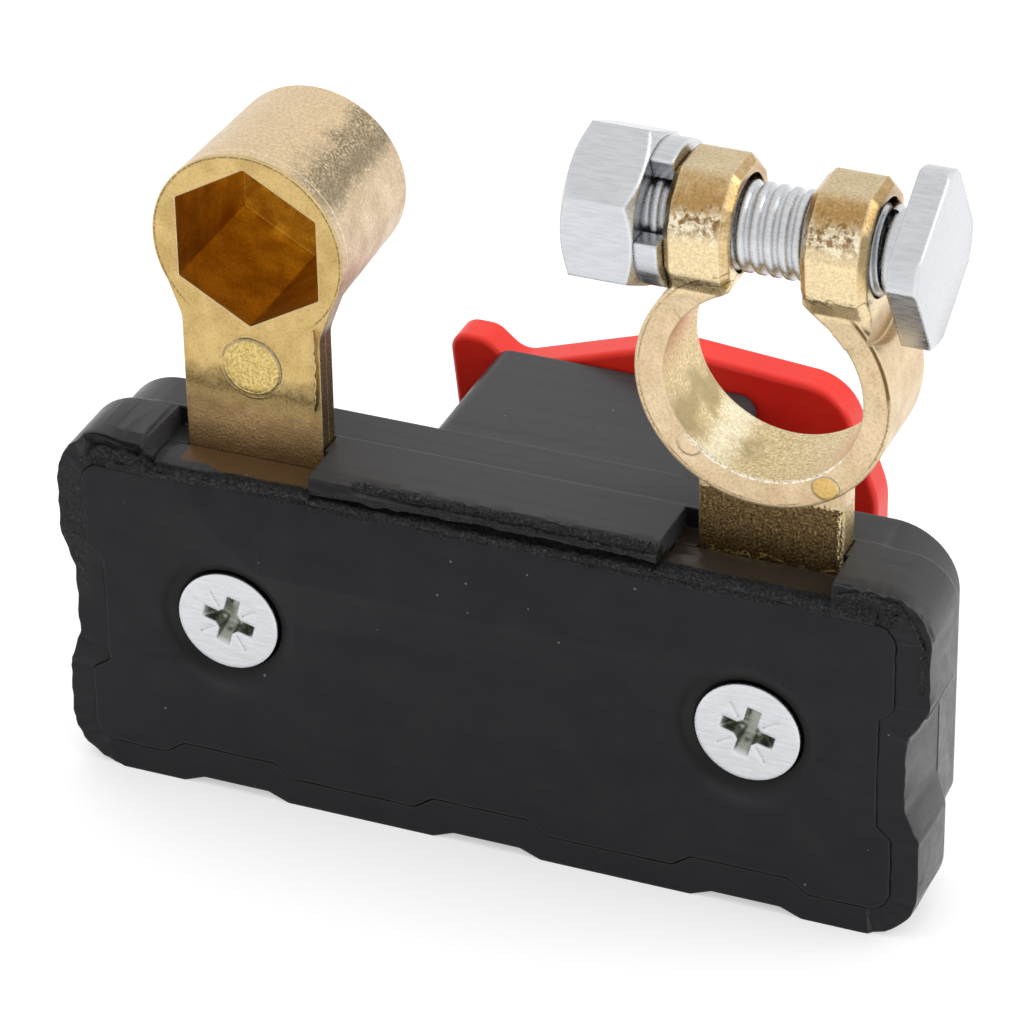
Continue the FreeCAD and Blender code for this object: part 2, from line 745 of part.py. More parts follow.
def collar_notch():
    """Sector of the spindle's collar that runs past the stop pin."""
    pin_half = math.degrees(math.asin(stop_pin_radius / stop_pin_offset)) + stop_play
    first = stop_pin_angle - handle_swing - pin_half
    last = stop_pin_angle + pin_half
    reach = collar_radius * 2
    corners = [(axis_x, axis_height, 0)]
    steps = 4
    for i in range(steps + 1):
        angle = math.radians(first + (last - first) * i / steps)
        corners.append((axis_x + reach * math.cos(angle), axis_height + reach * math.sin(angle), 0))
    wedge = slab(corners, collar_start - 1, collar_start + collar_thickness + 1)
    return wedge.cut(barrel(axis_x, axis_height, collar_notch_radius, collar_start - 2,
                            collar_start + collar_thickness + 2))


def make_spindle():
    """Spindle: square into the rotor, notched collar, sealed journal and square for the handle."""
    collar_end = collar_start + collar_thickness
    spindle = barrel(axis_x, axis_height, collar_radius, collar_start, collar_end)
    spindle = spindle.cut(collar_notch())
    spindle = spindle.fuse(square_bar(spindle_square, collar_start - spindle_square_length, collar_start + 0.1))
    spindle = spindle.fuse(barrel(axis_x, axis_height, spindle_radius, collar_end - 0.1, handle_back_depth))
    spindle = spindle.fuse(square_bar(drive_square, handle_back_depth - 0.1,
                                      handle_back_depth + drive_length))
    groove_end = boss_end_depth - seal_groove_inset
    groove = barrel(axis_x, axis_height, spindle_radius + 1, groove_end - seal_groove_width, groove_end)
    groove = groove.cut(barrel(axis_x, axis_height, spindle_radius - seal_groove_depth,
                               groove_end - seal_groove_width - 1, groove_end + 1))
    spindle = spindle.cut(groove)
    spindle = spindle.cut(barrel(axis_x, axis_height, spindle_tap_radius,
                                 handle_back_depth + drive_length - spindle_tap_depth,
                                 handle_back_depth + drive_length + 1))
    return spindle.removeSplitter()


def make_spindle_seal():
    """Ring seal in the spindle's groove."""
    middle = boss_end_depth - seal_groove_inset - seal_groove_width / 2
    ring_radius = spindle_radius - seal_section_radius + 0.01
    return Part.makeTorus(ring_radius, seal_section_radius, spot(axis_x, middle, axis_height),
                          Vector(0, 1, 0))


def flat_ring(inner, outer, start, end):
    """Flat washer on the spindle's axis."""
    ring = barrel(axis_x, axis_height, outer, start, end)
    return ring.cut(barrel(axis_x, axis_height, inner, start - 1, end + 1))


def make_disc_spring():
    """Conical spring washer that takes up the spindle's end play."""
    start = collar_start + collar_thickness + stack_gap
    inner = spindle_radius + 0.15
    outer = thrust_washer_radius
    rise = disc_spring_height - disc_spring_thickness
    profile = Part.makePolygon([spot(axis_x + inner, start, axis_height),
                                spot(axis_x + outer, start + rise, axis_height),
                                spot(axis_x + outer, start + disc_spring_height, axis_height),
                                spot(axis_x + inner, start + disc_spring_thickness, axis_height),
                                spot(axis_x + inner, start, axis_height)])
    return Part.Face(profile).revolve(spot(axis_x, start, axis_height), Vector(0, 1, 0), 360)


def make_thrust_washer():
    """Flat washer against the boss's end wall."""
    end = boss_inner_depth - stack_gap
    return flat_ring(spindle_radius + 0.1, thrust_washer_radius, end - thrust_washer_thickness, end)


def make_rotor():
    """Insulating rotor: pilot, square hub for the bridge, spring flange and spindle socket."""
    hub_start = bridge_depth - rotor_hub_lead
    rotor = barrel(axis_x, axis_height, rotor_pilot_radius, rotor_pilot_start, hub_start + 0.1)
    rotor = rotor.fuse(square_bar(rotor_hub_square, hub_start, rotor_flange_start + 0.1))
    flange_end = rotor_flange_start + rotor_flange_thickness
    rotor = rotor.fuse(barrel(axis_x, axis_height, rotor_flange_radius, rotor_flange_start, flange_end))
    rotor = rotor.fuse(barrel(axis_x, axis_height, rotor_socket_radius, flange_end - 0.1, rotor_end))
    socket = square_bar(spindle_square + square_play * 2,
                        collar_start - spindle_square_length - square_play, rotor_end + 1)
    return rotor.cut(socket).removeSplitter()


def make_contact_bridge():
    """Copper bar that joins the two arms when it lies along the case."""
    end = bridge_depth + bridge_thickness
    bar = slab([(axis_x - bridge_half_length, axis_height + bridge_half_width, 1.5),
                (axis_x + bridge_half_length, axis_height + bridge_half_width, 1.5),
                (axis_x + bridge_half_length, axis_height - bridge_half_width, 1.5),
                (axis_x - bridge_half_length, axis_height - bridge_half_width, 1.5)],
               bridge_depth, end)
    return bar.cut(square_bar(rotor_hub_square + square_play * 2, bridge_depth - 1, end + 1))


def make_bridge_clip():
    """Push-on ring that keeps the bridge on the rotor."""
    end = bridge_depth - rotor_hub_lead - stack_gap
    return flat_ring(rotor_pilot_radius + 0.02, clip_radius, end - clip_thickness, end)


def make_contact_spring():
    """Coil spring that presses the bridge on the arms."""
    start = bridge_depth + bridge_thickness + stack_gap + spring_wire_radius
    height = spring_length - 2 * spring_wire_radius
    helix = Part.makeHelix(height / spring_turns, height, spring_mean_radius)
    circle = Part.Wire(Part.makeCircle(spring_wire_radius, Vector(spring_mean_radius, 0, 0),
                                       Vector(0, 1, 0)))
    coil = Part.Wire(helix).makePipeShell([circle], True, True)
    coil.rotate(Vector(0, 0, 0), Vector(1, 0, 0), -90)
    coil.translate(spot(axis_x, start, axis_height))
    return coil


def handle_outline():
    """Lever: eared tail, shallow neck, a blunt crest and a broad rounded end."""
    upper = [(-handle_tail + 1.3, 0, 4.0), (-handle_tail - 0.1, 14.1, 2.6), (-13.7, 14.1, 2.2),
             (-11.1, 11.9, 2.2), (3.2, handle_half_height, 14.0),
             (handle_reach - 3.7, 15.4, 5.0), (handle_reach, 5.0, 6.0)]
    lower = [(u, -v, r) for u, v, r in reversed(upper[1:])]
    return [(axis_x + u, axis_height + v, r) for u, v, r in upper + lower]


def make_handle():
    """Moulded lever with a raised grip and a square socket for the spindle."""
    plate = slab(handle_outline(), handle_back_depth, handle_front_depth)
    plate = soften(plate, handle_edge, handle_front_depth)
    plate = soften(plate, handle_edge, handle_back_depth)
    half = grip_width / 2
    grip = slab([(axis_x - grip_left, axis_height + half, half - 0.1),
                 (axis_x + grip_right, axis_height + half, half - 0.1),
                 (axis_x + grip_right, axis_height - half, half - 0.1),
                 (axis_x - grip_left, axis_height - half, half - 0.1)],
                handle_front_depth - 1, overall_depth)
    grip = soften(grip, grip_edge, overall_depth)
    hub = barrel(axis_x, axis_height, screw_well_radius + 2.2, handle_front_depth - 1, overall_depth - 0.4)
    hub = soften(hub, 0.8, overall_depth - 0.4)
    handle = plate.fuse(grip).fuse(hub)
    handle = handle.cut(barrel(axis_x, axis_height, screw_well_radius, screw_well_floor, overall_depth + 1))
    handle = handle.cut(barrel(axis_x, axis_height, fixing_shank_radius + 0.3, handle_back_depth - 1,
                               screw_well_floor + 1))
    handle = handle.cut(square_bar(drive_square + square_play * 2, handle_back_depth - 1,
                                   handle_back_depth + drive_length + stack_gap))
    return handle.removeSplitter()


def make_handle_washer():
    """Washer under the fixing screw."""
    start = screw_well_floor + 0.02
    return flat_ring(fixing_shank_radius + 0.2, fixing_washer_radius, start, start + fixing_washer_thickness)


def make_handle_screw():
    """Pan head screw that holds the handle on the spindle."""
    start = screw_well_floor + 0.02 + fixing_washer_thickness + 0.02
    head = barrel(axis_x, axis_height, fixing_head_radius, start, start + fixing_head_height)
    head = soften(head, 0.8, start + fixing_head_height)
    slot = block(axis_x - fixing_head_radius * 0.6, axis_x + fixing_head_radius * 0.6,
                 start + fixing_head_height - 1.2, start + fixing_head_height + 1,
                 axis_height - 0.45, axis_height + 0.45)
    cross = slot.copy()
    cross.rotate(spot(axis_x, 0, axis_height), Vector(0, 1, 0), 90)
    head = head.cut(slot).cut(cross)
    shank = barrel(axis_x, axis_height, fixing_shank_radius, start - fixing_shank_length, start + 0.1)
    return head.fuse(shank).removeSplitter()


def save(name, shape):
    """Write one node's STEP file."""
    shape.exportStep("parts/" + name + ".step")
    print(name, len(shape.Solids), "solid", round(shape.Volume / 1000, 3), "cm3", shape.isValid())


save("housing", make_housing())
save("back_cover", make_back_cover())
save("cover_screws", Part.makeCompound([make_cover_screw(-1), make_cover_screw(1)]))
save("post_terminal", make_post_terminal())
save("clamp_terminal", make_clamp_terminal())
save("clamp_bolt", make_clamp_bolt())
save("clamp_nut", make_clamp_nut())
save("lock_washer", make_lock_washer())
save("stop_pin", make_stop_pin())
save("spindle", make_spindle())
save("spindle_seal", make_spindle_seal())
save("thrust_washer", make_thrust_washer())
save("disc_spring", make_disc_spring())
save("rotor", make_rotor())
save("contact_bridge", make_contact_bridge())
save("bridge_clip", make_bridge_clip())
save("contact_spring", make_contact_spring())
save("handle", make_handle())
save("handle_washer", make_handle_washer())
save("handle_screw", make_handle_screw())
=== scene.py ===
import json
import math

import bmesh
import bpy
from mathutils import Matrix, Vector, noise


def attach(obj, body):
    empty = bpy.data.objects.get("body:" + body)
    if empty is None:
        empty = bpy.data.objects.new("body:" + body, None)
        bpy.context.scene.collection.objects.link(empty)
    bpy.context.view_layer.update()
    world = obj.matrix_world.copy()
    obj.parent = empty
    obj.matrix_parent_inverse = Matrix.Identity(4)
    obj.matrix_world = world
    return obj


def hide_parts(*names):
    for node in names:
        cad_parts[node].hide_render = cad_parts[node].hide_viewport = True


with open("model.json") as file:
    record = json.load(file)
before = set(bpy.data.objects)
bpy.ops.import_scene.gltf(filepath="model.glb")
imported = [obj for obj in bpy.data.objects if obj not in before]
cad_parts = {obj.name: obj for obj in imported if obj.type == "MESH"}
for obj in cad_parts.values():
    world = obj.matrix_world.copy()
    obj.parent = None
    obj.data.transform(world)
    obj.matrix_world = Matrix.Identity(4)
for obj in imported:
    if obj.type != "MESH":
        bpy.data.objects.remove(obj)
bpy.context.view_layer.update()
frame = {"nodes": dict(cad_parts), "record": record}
nodes = frame["nodes"]

MM = 0.001

# Places and sizes in millimetres

WELD = 0.0005
FACE_Y = -17.475
SHEET_Y = -12.725
POST_X, POST_Z = -23.3, 54.0
RING_X, RING_Z = 24.1, 50.2
MARK_X, MARK_Z = -23.31, 42.29
GOLD_MARK_X, GOLD_MARK_Z = 29.88, 41.66
SCREW_X, SCREW_Z = 24.6, 18.4
RECESS_REACH = 3.2
BEAD_STEP = 0.16
BEAD_ROOT = 0.35
MOULD_LINES = ((7.45, 7.6), (11.85, 11.95))
BOLT_Y, BOLT_Z = -9.0, 63.05
HEAD_X = 35.75
BOLT_END_X = 5.75
THREAD_CREST = 3.9
THREAD_ROOT = 3.45
THREAD_PITCH = 1.25

# The grain of torn plastic, and the seed of its beads

CRUMBS = {"Scale": 9000.0, "Swell": 4200.0}
NOISE_SEED = 1


# Node helpers

def feed(tree, socket, value):
    """A socket linked to another one, or given a plain value."""
    if hasattr(value, "is_linked"):
        tree.links.new(value, socket)
    else:
        socket.default_value = value


def add_node(tree, kind, **values):
    """A node with its settings and inputs; each input takes a socket or a plain value."""
    node = tree.nodes.new("ShaderNode" + kind)
    for key, value in values.items():
        if hasattr(node, key):
            setattr(node, key, value)
        else:
            feed(tree, node.inputs[key.replace("_", " ")], value)
    return node


def math_node(tree, operation, *operands, clamp=False):
    """One arithmetic step; each operand is a socket or a number."""
    node = add_node(tree, "Math", operation=operation, use_clamp=clamp)
    for socket, value in zip(node.inputs, operands):
        feed(tree, socket, value)
    return node.outputs[0]


def vector_node(tree, operation, *operands):
    """One step of vector arithmetic; each operand is a socket or three numbers."""
    node = add_node(tree, "VectorMath", operation=operation)
    for socket, value in zip(node.inputs, operands):
        feed(tree, socket, value)
    return node.outputs["Value" if operation in ("LENGTH", "DOT_PRODUCT") else "Vector"]


def split_vector(tree, vector):
    """The three parts of a vector."""
    node = tree.nodes.new("ShaderNodeSeparateXYZ")
    tree.links.new(vector, node.inputs[0])
    return node.outputs


def ramp(tree, source, low, high, start=0.0, end=1.0):
    """A value stretched from one range to another, without leaving it."""
    node = add_node(tree, "MapRange", Value=source, From_Min=low, From_Max=high, To_Min=start, To_Max=end)
    return node.outputs["Result"]


def tint(tree, amount, first, second, blend="MIX"):
    """Two colours mixed; each is a socket or a plain colour."""
    node = add_node(tree, "Mix", data_type="RGBA", blend_type=blend)
    for socket, value in ((node.inputs[0], amount), (node.inputs[6], first), (node.inputs[7], second)):
        feed(tree, socket, (*value, 1.0) if hasattr(value, "__len__") else value)
    return node.outputs[2]


def new_group(name, inputs, outputs):
    """An empty shader group with named sockets, and its two ends."""
    tree = bpy.data.node_groups.new(name, "ShaderNodeTree")
    for label, kind, value in inputs:
        socket = tree.interface.new_socket(name=label, in_out="INPUT", socket_type="NodeSocket" + kind)
        if value is not None:
            socket.default_value = value
    for label, kind in outputs:
        tree.interface.new_socket(name=label, in_out="OUTPUT", socket_type="NodeSocket" + kind)
    return tree, tree.nodes.new("NodeGroupInput").outputs, tree.nodes.new("NodeGroupOutput").inputs


def place_group(tree, name, **values):
    """A group placed in a material with its own values."""
    return add_node(tree, "Group", node_tree=bpy.data.node_groups[name], **values)


def zone(tree, source, low, high, soft):
    """1 between two limits and 0 outside, with soft borders."""
    rise = ramp(tree, source, low - soft, low + soft)
    fall = ramp(tree, source, high - soft, high + soft, 1.0, 0.0)
    return math_node(tree, "MULTIPLY", rise, fall)


def both(tree, *masks):
    """The masks multiplied together; all but the first may be numbers."""
    result = masks[0]
    for mask in masks[1:]:
        result = math_node(tree, "MULTIPLY", result, mask)
    return result


def either(tree, *masks):
    """The largest of the masks."""
    result = masks[0]
    for mask in masks[1:]:
        result = math_node(tree, "MAXIMUM", result, mask)
    return result


def wobble(tree, source, noise_socket, amount):
    """A value shifted to and fro by noise, so that borders come out ragged."""
    shift = ramp(tree, noise_socket, 0.2, 0.8, -amount, amount)
    return math_node(tree, "ADD", source, shift)


def mottled(tree, pattern, low, high, dark, light):
    """A colour that goes from dark to light as a pattern rises between two limits."""
    return tint(tree, ramp(tree, pattern, low, high), dark, light)


def flecked(tree, base, pattern, low, high, amount, colour):
    """Flecks of another colour where a pattern is high."""
    return tint(tree, ramp(tree, pattern, low, high, 0.0, amount), base, colour)


def stained(tree, base, colour, *masks):
    """Another colour over the base where all the masks meet."""
    return tint(tree, both(tree, *masks), base, colour)


def places(tree, where):
    """A point's place in millimetres: along the case, depth behind the cover's face, and height."""
    split = split_vector(tree, where)
    depth = math_node(tree, "MULTIPLY_ADD", split["Y"], 1 / MM, -FACE_Y)
    return both(tree, split["X"], 1 / MM), depth, both(tree, split["Z"], 1 / MM)


def about_axis(tree, where, x, z):
    """A point's distance in millimetres and angle in degrees about an axis along Y."""
    place = place_group(tree, "place about axis", Vector=where, Centre=(x * MM, 0, z * MM))
    return place.outputs["Distance"], place.outputs["Angle"]


def normal_parts(tree):
    """The three parts of the normal."""
    return split_vector(tree, tree.nodes.new("ShaderNodeNewGeometry").outputs["Normal"])


# Shared effects

def make_grain_group():
    """Fine surface grain over a slower swell, as a height and a mask."""
    tree, start, end = new_group("surface grain", [("Vector", "Vector", None), ("Scale", "Float", 900.0),
                                                   ("Swell", "Float", 120.0)],
                                 [("Height", "Float"), ("Blotch", "Float")])
    place = start["Vector"]
    fine = add_node(tree, "TexNoise", Vector=place, Scale=start["Scale"], Detail=4.0, Roughness=0.65)
    slow = add_node(tree, "TexNoise", Vector=place, Scale=start["Swell"], Detail=3.0, Roughness=0.55)
    height = math_node(tree, "MULTIPLY_ADD", slow.outputs["Fac"], 0.8, fine.outputs["Fac"])
    tree.links.new(height, end["Height"])
    tree.links.new(slow.outputs["Fac"], end["Blotch"])


def make_specks_group():
    """Scattered tiny specks of dust, most of the cells left empty."""
    tree, start, end = new_group("dust specks", [("Vector", "Vector", None), ("Scale", "Float", 500.0),
                                                 ("Share", "Float", 0.1), ("Size", "Float", 0.2)],
                                 [("Mask", "Float")])
    cells = add_node(tree, "TexVoronoi", Vector=start["Vector"], Scale=start["Scale"])
    draws = add_node(tree, "SeparateColor", Color=cells.outputs["Color"]).outputs
    chosen = math_node(tree, "LESS_THAN", draws["Red"], start["Share"])
    near = math_node(tree, "LESS_THAN", cells.outputs["Distance"], both(tree, draws["Green"], start["Size"]))
    tree.links.new(both(tree, chosen, near), end["Mask"])


def make_turned_place_group():
    """Where a point lies about an axis along Y: its distance in millimetres and its angle in degrees."""
    tree, start, end = new_group("place about axis", [("Vector", "Vector", None),
                                                      ("Centre", "Vector", (0, 0, 0))],
                                 [("Distance", "Float"), ("Angle", "Float")])
    offset = vector_node(tree, "SUBTRACT", start["Vector"], start["Centre"])
    flat = vector_node(tree, "MULTIPLY", offset, (1 / MM, 0, 1 / MM))
    split = split_vector(tree, flat)
    angle = math_node(tree, "ARCTAN2", split["Z"], split["X"])
    tree.links.new(vector_node(tree, "LENGTH", flat), end["Distance"])
    tree.links.new(both(tree, angle, 180 / math.pi), end["Angle"])


def make_edge_group():
    """Rounded look of the edges, and a mask of where they are."""
    tree, start, end = new_group("rounded edges", [("Radius", "Float", 0.0003)],
                                 [("Mask", "Float"), ("Normal", "Vector")])
    rounded = add_node(tree, "Bevel", samples=6, Radius=start["Radius"]).outputs["Normal"]
    shape = tree.nodes.new("ShaderNodeNewGeometry").outputs["Normal"]
    tree.links.new(ramp(tree, vector_node(tree, "DOT_PRODUCT", rounded, shape), 0.995, 0.85), end["Mask"])
    tree.links.new(rounded, end["Normal"])


def make_streaks_group():
    """Long faint streaks along one direction."""
    tree, start, end = new_group("streaks", [("Vector", "Vector", None),
                                             ("Scale", "Vector", (20.0, 400.0, 400.0))],
                                 [("Mask", "Float")])
    stretched = vector_node(tree, "MULTIPLY", start["Vector"], start["Scale"])
    lines = add_node(tree, "TexNoise", Vector=stretched, Scale=1.0, Detail=3.0, Roughness=0.6)
    tree.links.new(lines.outputs["Fac"], end["Mask"])


make_grain_group()
make_specks_group()
make_edge_group()
make_streaks_group()
make_turned_place_group()


# Finishes

class Plastic:
    """Colours of the black plastic."""
    deep = (0.0068, 0.0068, 0.0092)
    plain = (0.0108, 0.0108, 0.013)
    # Painted shade in the dish around each screw head
    dish = (0.0006, 0.0006, 0.0008)
    # Pale painted highlight below each screw dish
    smudge = (0.034, 0.034, 0.037)
    # Painted sheen on the faces that look up
    painted_top_sheen = (0.052, 0.052, 0.054)
    # Painted sheen on the faces that look right
    painted_right_sheen = (0.1, 0.099, 0.104)
    mould_line = (0.13, 0.13, 0.135)
    brown_slot = (0.11, 0.062, 0.027)
    dark_slot = (0.042, 0.032, 0.023)
    # Painted shade on the block's front face under its brow
    painted_block_shade = (0.002, 0.002, 0.0025)
    torn_deep = (0.007, 0.007, 0.008)
    torn_plain = (0.038, 0.038, 0.041)
    torn_crumb = (0.12, 0.12, 0.125)
    bead_deep = (0.008, 0.008, 0.009)
    bead_plain = (0.045, 0.045, 0.048)
    bead_crumb = (0.13, 0.13, 0.135)
    # Paler edges: partly wear, partly a painted highlight
    wear_and_edge_highlight = (0.05, 0.05, 0.052)
    dust = (0.22, 0.22, 0.21)


class Lever:
    """Colours of the red lever."""
    deep = (0.84, 0.021, 0.012)
    plain = (0.92, 0.034, 0.018)
    # Paler edges: partly wear, partly a painted highlight
    wear_and_edge_highlight = (0.93, 0.1, 0.065)


class PostBrass:
    """Colours of the terminal post."""
    tan = (0.56, 0.39, 0.15)
    pale_tan = (0.67, 0.48, 0.2)
    tan_fleck = (0.3, 0.19, 0.07)
    straw = (0.6, 0.46, 0.3)
    pale_straw = (0.7, 0.55, 0.37)
    # Painted highlight along the top of the barrel
    painted_crown_highlight = (0.76, 0.58, 0.36)
    amber = (0.58, 0.32, 0.04)
    pale_amber = (0.8, 0.52, 0.1)
    # Painted dark reflection band on the barrel, with painted glints
    painted_band_dark = (0.23, 0.175, 0.095)
    painted_band_pale = (0.52, 0.41, 0.25)
    painted_band_core = (0.2, 0.16, 0.09)
    painted_band_glint = (0.95, 0.86, 0.62)
    brown = (0.3, 0.19, 0.085)
    pale_brown = (0.4, 0.26, 0.12)
    brown_fleck = (0.12, 0.075, 0.03)
    smudge = (0.1, 0.067, 0.03)
    mark = (0.56, 0.4, 0.13)
    pale_mark = (0.72, 0.55, 0.22)
    # Painted shade in the groove round the casting mark
    groove = (0.1, 0.06, 0.022)
    rim = (0.16, 0.1, 0.04)
    # Painted shade on the strip's end face that looks right
    flank = (0.13, 0.085, 0.03)
    pale_flank = (0.4, 0.28, 0.11)
    # Painted highlight line round the barrel
    painted_barrel_highlight = (0.95, 0.82, 0.56)


class ClampBrass:
    """Colours of the clamp ring."""
    pale = (0.66, 0.5, 0.3)
    paler = (0.76, 0.59, 0.38)
    pale_fleck = (0.42, 0.28, 0.12)
    bore = (0.64, 0.49, 0.24)
    pale_bore = (0.8, 0.65, 0.38)
    # Painted highlight inside the bore
    painted_bore_highlight = (0.97, 0.87, 0.62)
    bore_ring = (0.5, 0.35, 0.14)
    bore_stain = (0.2, 0.14, 0.05)
    # Painted reflections and painted shade on the ears
    ear_top_reflection = (0.6, 0.47, 0.28)
    pale_ear_top_reflection = (0.68, 0.54, 0.34)
    brow = (0.44, 0.27, 0.1)
    pale_brow_reflection = (0.7, 0.53, 0.3)
    ear_front_reflection = (0.8, 0.64, 0.38)
    painted_dark_glitter = (0.24, 0.13, 0.045)
    painted_glitter_glint = (1.0, 0.9, 0.68)
    # Painted shade along the ledge under the ears
    painted_ledge_shade = (0.16, 0.09, 0.03)
    painted_slope_shade = (0.26, 0.15, 0.05)
    pale_slope_shade = (0.62, 0.44, 0.2)
    # Painted shade on the strip under the ring
    painted_strip_shade = (0.066, 0.043, 0.018)
    pale_strip_shade = (0.2, 0.13, 0.056)
    strip_shade_fleck = (0.34, 0.21, 0.07)
    chipped = (0.75, 0.58, 0.3)
    hem = (0.5, 0.34, 0.1)
    gold_mark = (0.68, 0.44, 0.12)
    # Painted shade in the fine creases of the ring's face
    painted_crease_shade = (0.17, 0.1, 0.04)
    glint = (1.0, 0.97, 0.9)


class Metal:
    """Colours of the plated, turned and rolled metals."""
    # Paler edges: partly wear, partly a painted highlight
    wear_and_edge_highlight = (0.93, 0.94, 0.96)
    brass_wear_and_edge_highlight = (0.97, 0.84, 0.56)
    # Painted shade in the screws' recesses
    painted_recess_shade = (0.15, 0.17, 0.12)
    pale_recess_shade = (0.36, 0.39, 0.31)


def new_finish(name, metallic=0.0, roughness=0.5, specular=0.5):
    """An empty material with one Principled shader and object coordinates."""
    material = bpy.data.materials.new(name)
    material.use_nodes = True
    tree = material.node_tree
    shader = tree.nodes["Principled BSDF"]
    shader.inputs["Metallic"].default_value = metallic
    shader.inputs["Roughness"].default_value = roughness
    shader.inputs["Specular IOR Level"].default_value = specular
    where = tree.nodes.new("ShaderNodeTexCoord").outputs["Object"]
    return material, tree, shader, where


def add_bump(tree, height, distance, strength, normal=None):
    """A bump over another normal; its strength is a number or a socket."""
    bump = add_node(tree, "Bump", Height=height, Distance=distance, Strength=strength)
    if normal is not None:
        tree.links.new(normal, bump.inputs["Normal"])
    return bump.outputs["Normal"]


def complete(tree, shader, base, roughness=None, normal=None):
    """The colour, roughness and normal joined to the shader."""
    for key, socket in (("Base Color", base), ("Roughness", roughness), ("Normal", normal)):
        if socket is not None:
            tree.links.new(socket, shader.inputs[key])


def torn_plastic_finish():
    """Torn, fibrous black plastic with pale crumbs."""
    material, tree, shader, where = new_finish("torn_black_plastic", 0.0, 0.7, 0.2)
    crumbs = place_group(tree, "surface grain", Vector=where, **CRUMBS)
    crumb = crumbs.outputs["Blotch"]
    base = mottled(tree, crumb, 0.36, 0.62, Plastic.bead_deep, Plastic.bead_plain)
    base = flecked(tree, base, crumb, 0.63, 0.7, 0.7, Plastic.bead_crumb)
    complete(tree, shader, base, normal=add_bump(tree, crumbs.outputs["Height"], 0.0002, 1.0))
    return material


def shade_screw_seats(tree, where, depth, base):
    """Painted shade in the soft dark dish around each screw, and a pale painted highlight under it."""
    at_face = ramp(tree, depth, 1.0, 0.7)
    for screw_x in (-SCREW_X, SCREW_X):
        reach, angle = about_axis(tree, where, screw_x, SCREW_Z)
        leftward = either(tree, zone(tree, angle, -190.0, -105.0, 20.0),
                          zone(tree, angle, 125.0, 190.0, 25.0))
        wide = both(tree, zone(tree, reach, 4.5, 6.5, 0.4), leftward)
        dish = either(tree, zone(tree, reach, 4.5, 5.6, 0.35), wide)
        # Painted shade in a ring round the screw head, wider towards the left
        base = stained(tree, base, Plastic.dish, dish, at_face)
        # The smudge below the dish is a pale painted highlight
        smudge = both(tree, zone(tree, reach, 6.5, 7.6, 0.6), zone(tree, angle, -118.0, -75.0, 18.0))
        base = stained(tree, base, Plastic.smudge, smudge, at_face, 0.5)
    return base


def torn_places(tree, along, depth, up, blotch, crumb):
    """Where the plastic is torn: the cover's crest, the block's brow and, less so, the left flank."""
    crest = both(tree, ramp(tree, wobble(tree, up, blotch, 0.5), 31.9, 32.15), ramp(tree, up, 34.0, 33.7),
                 ramp(tree, depth, 1.7, 1.4), ramp(tree, math_node(tree, "ABSOLUTE", along), 38.2, 37.6))
    brow = both(tree, ramp(tree, up, 34.45, 34.6), ramp(tree, wobble(tree, depth, crumb, 0.5), 1.0, 0.8),
                ramp(tree, wobble(tree, along, blotch, 1.5), -12.5, -11.5), ramp(tree, along, 16.2, 16.0))
    flank = both(tree, ramp(tree, wobble(tree, along, blotch, 0.6), -38.0, -38.4),
                 ramp(tree, depth, 0.4, 0.2), zone(tree, up, 19.0, 31.5, 2.0))
    return either(tree, crest, brow, both(tree, flank, 0.55))


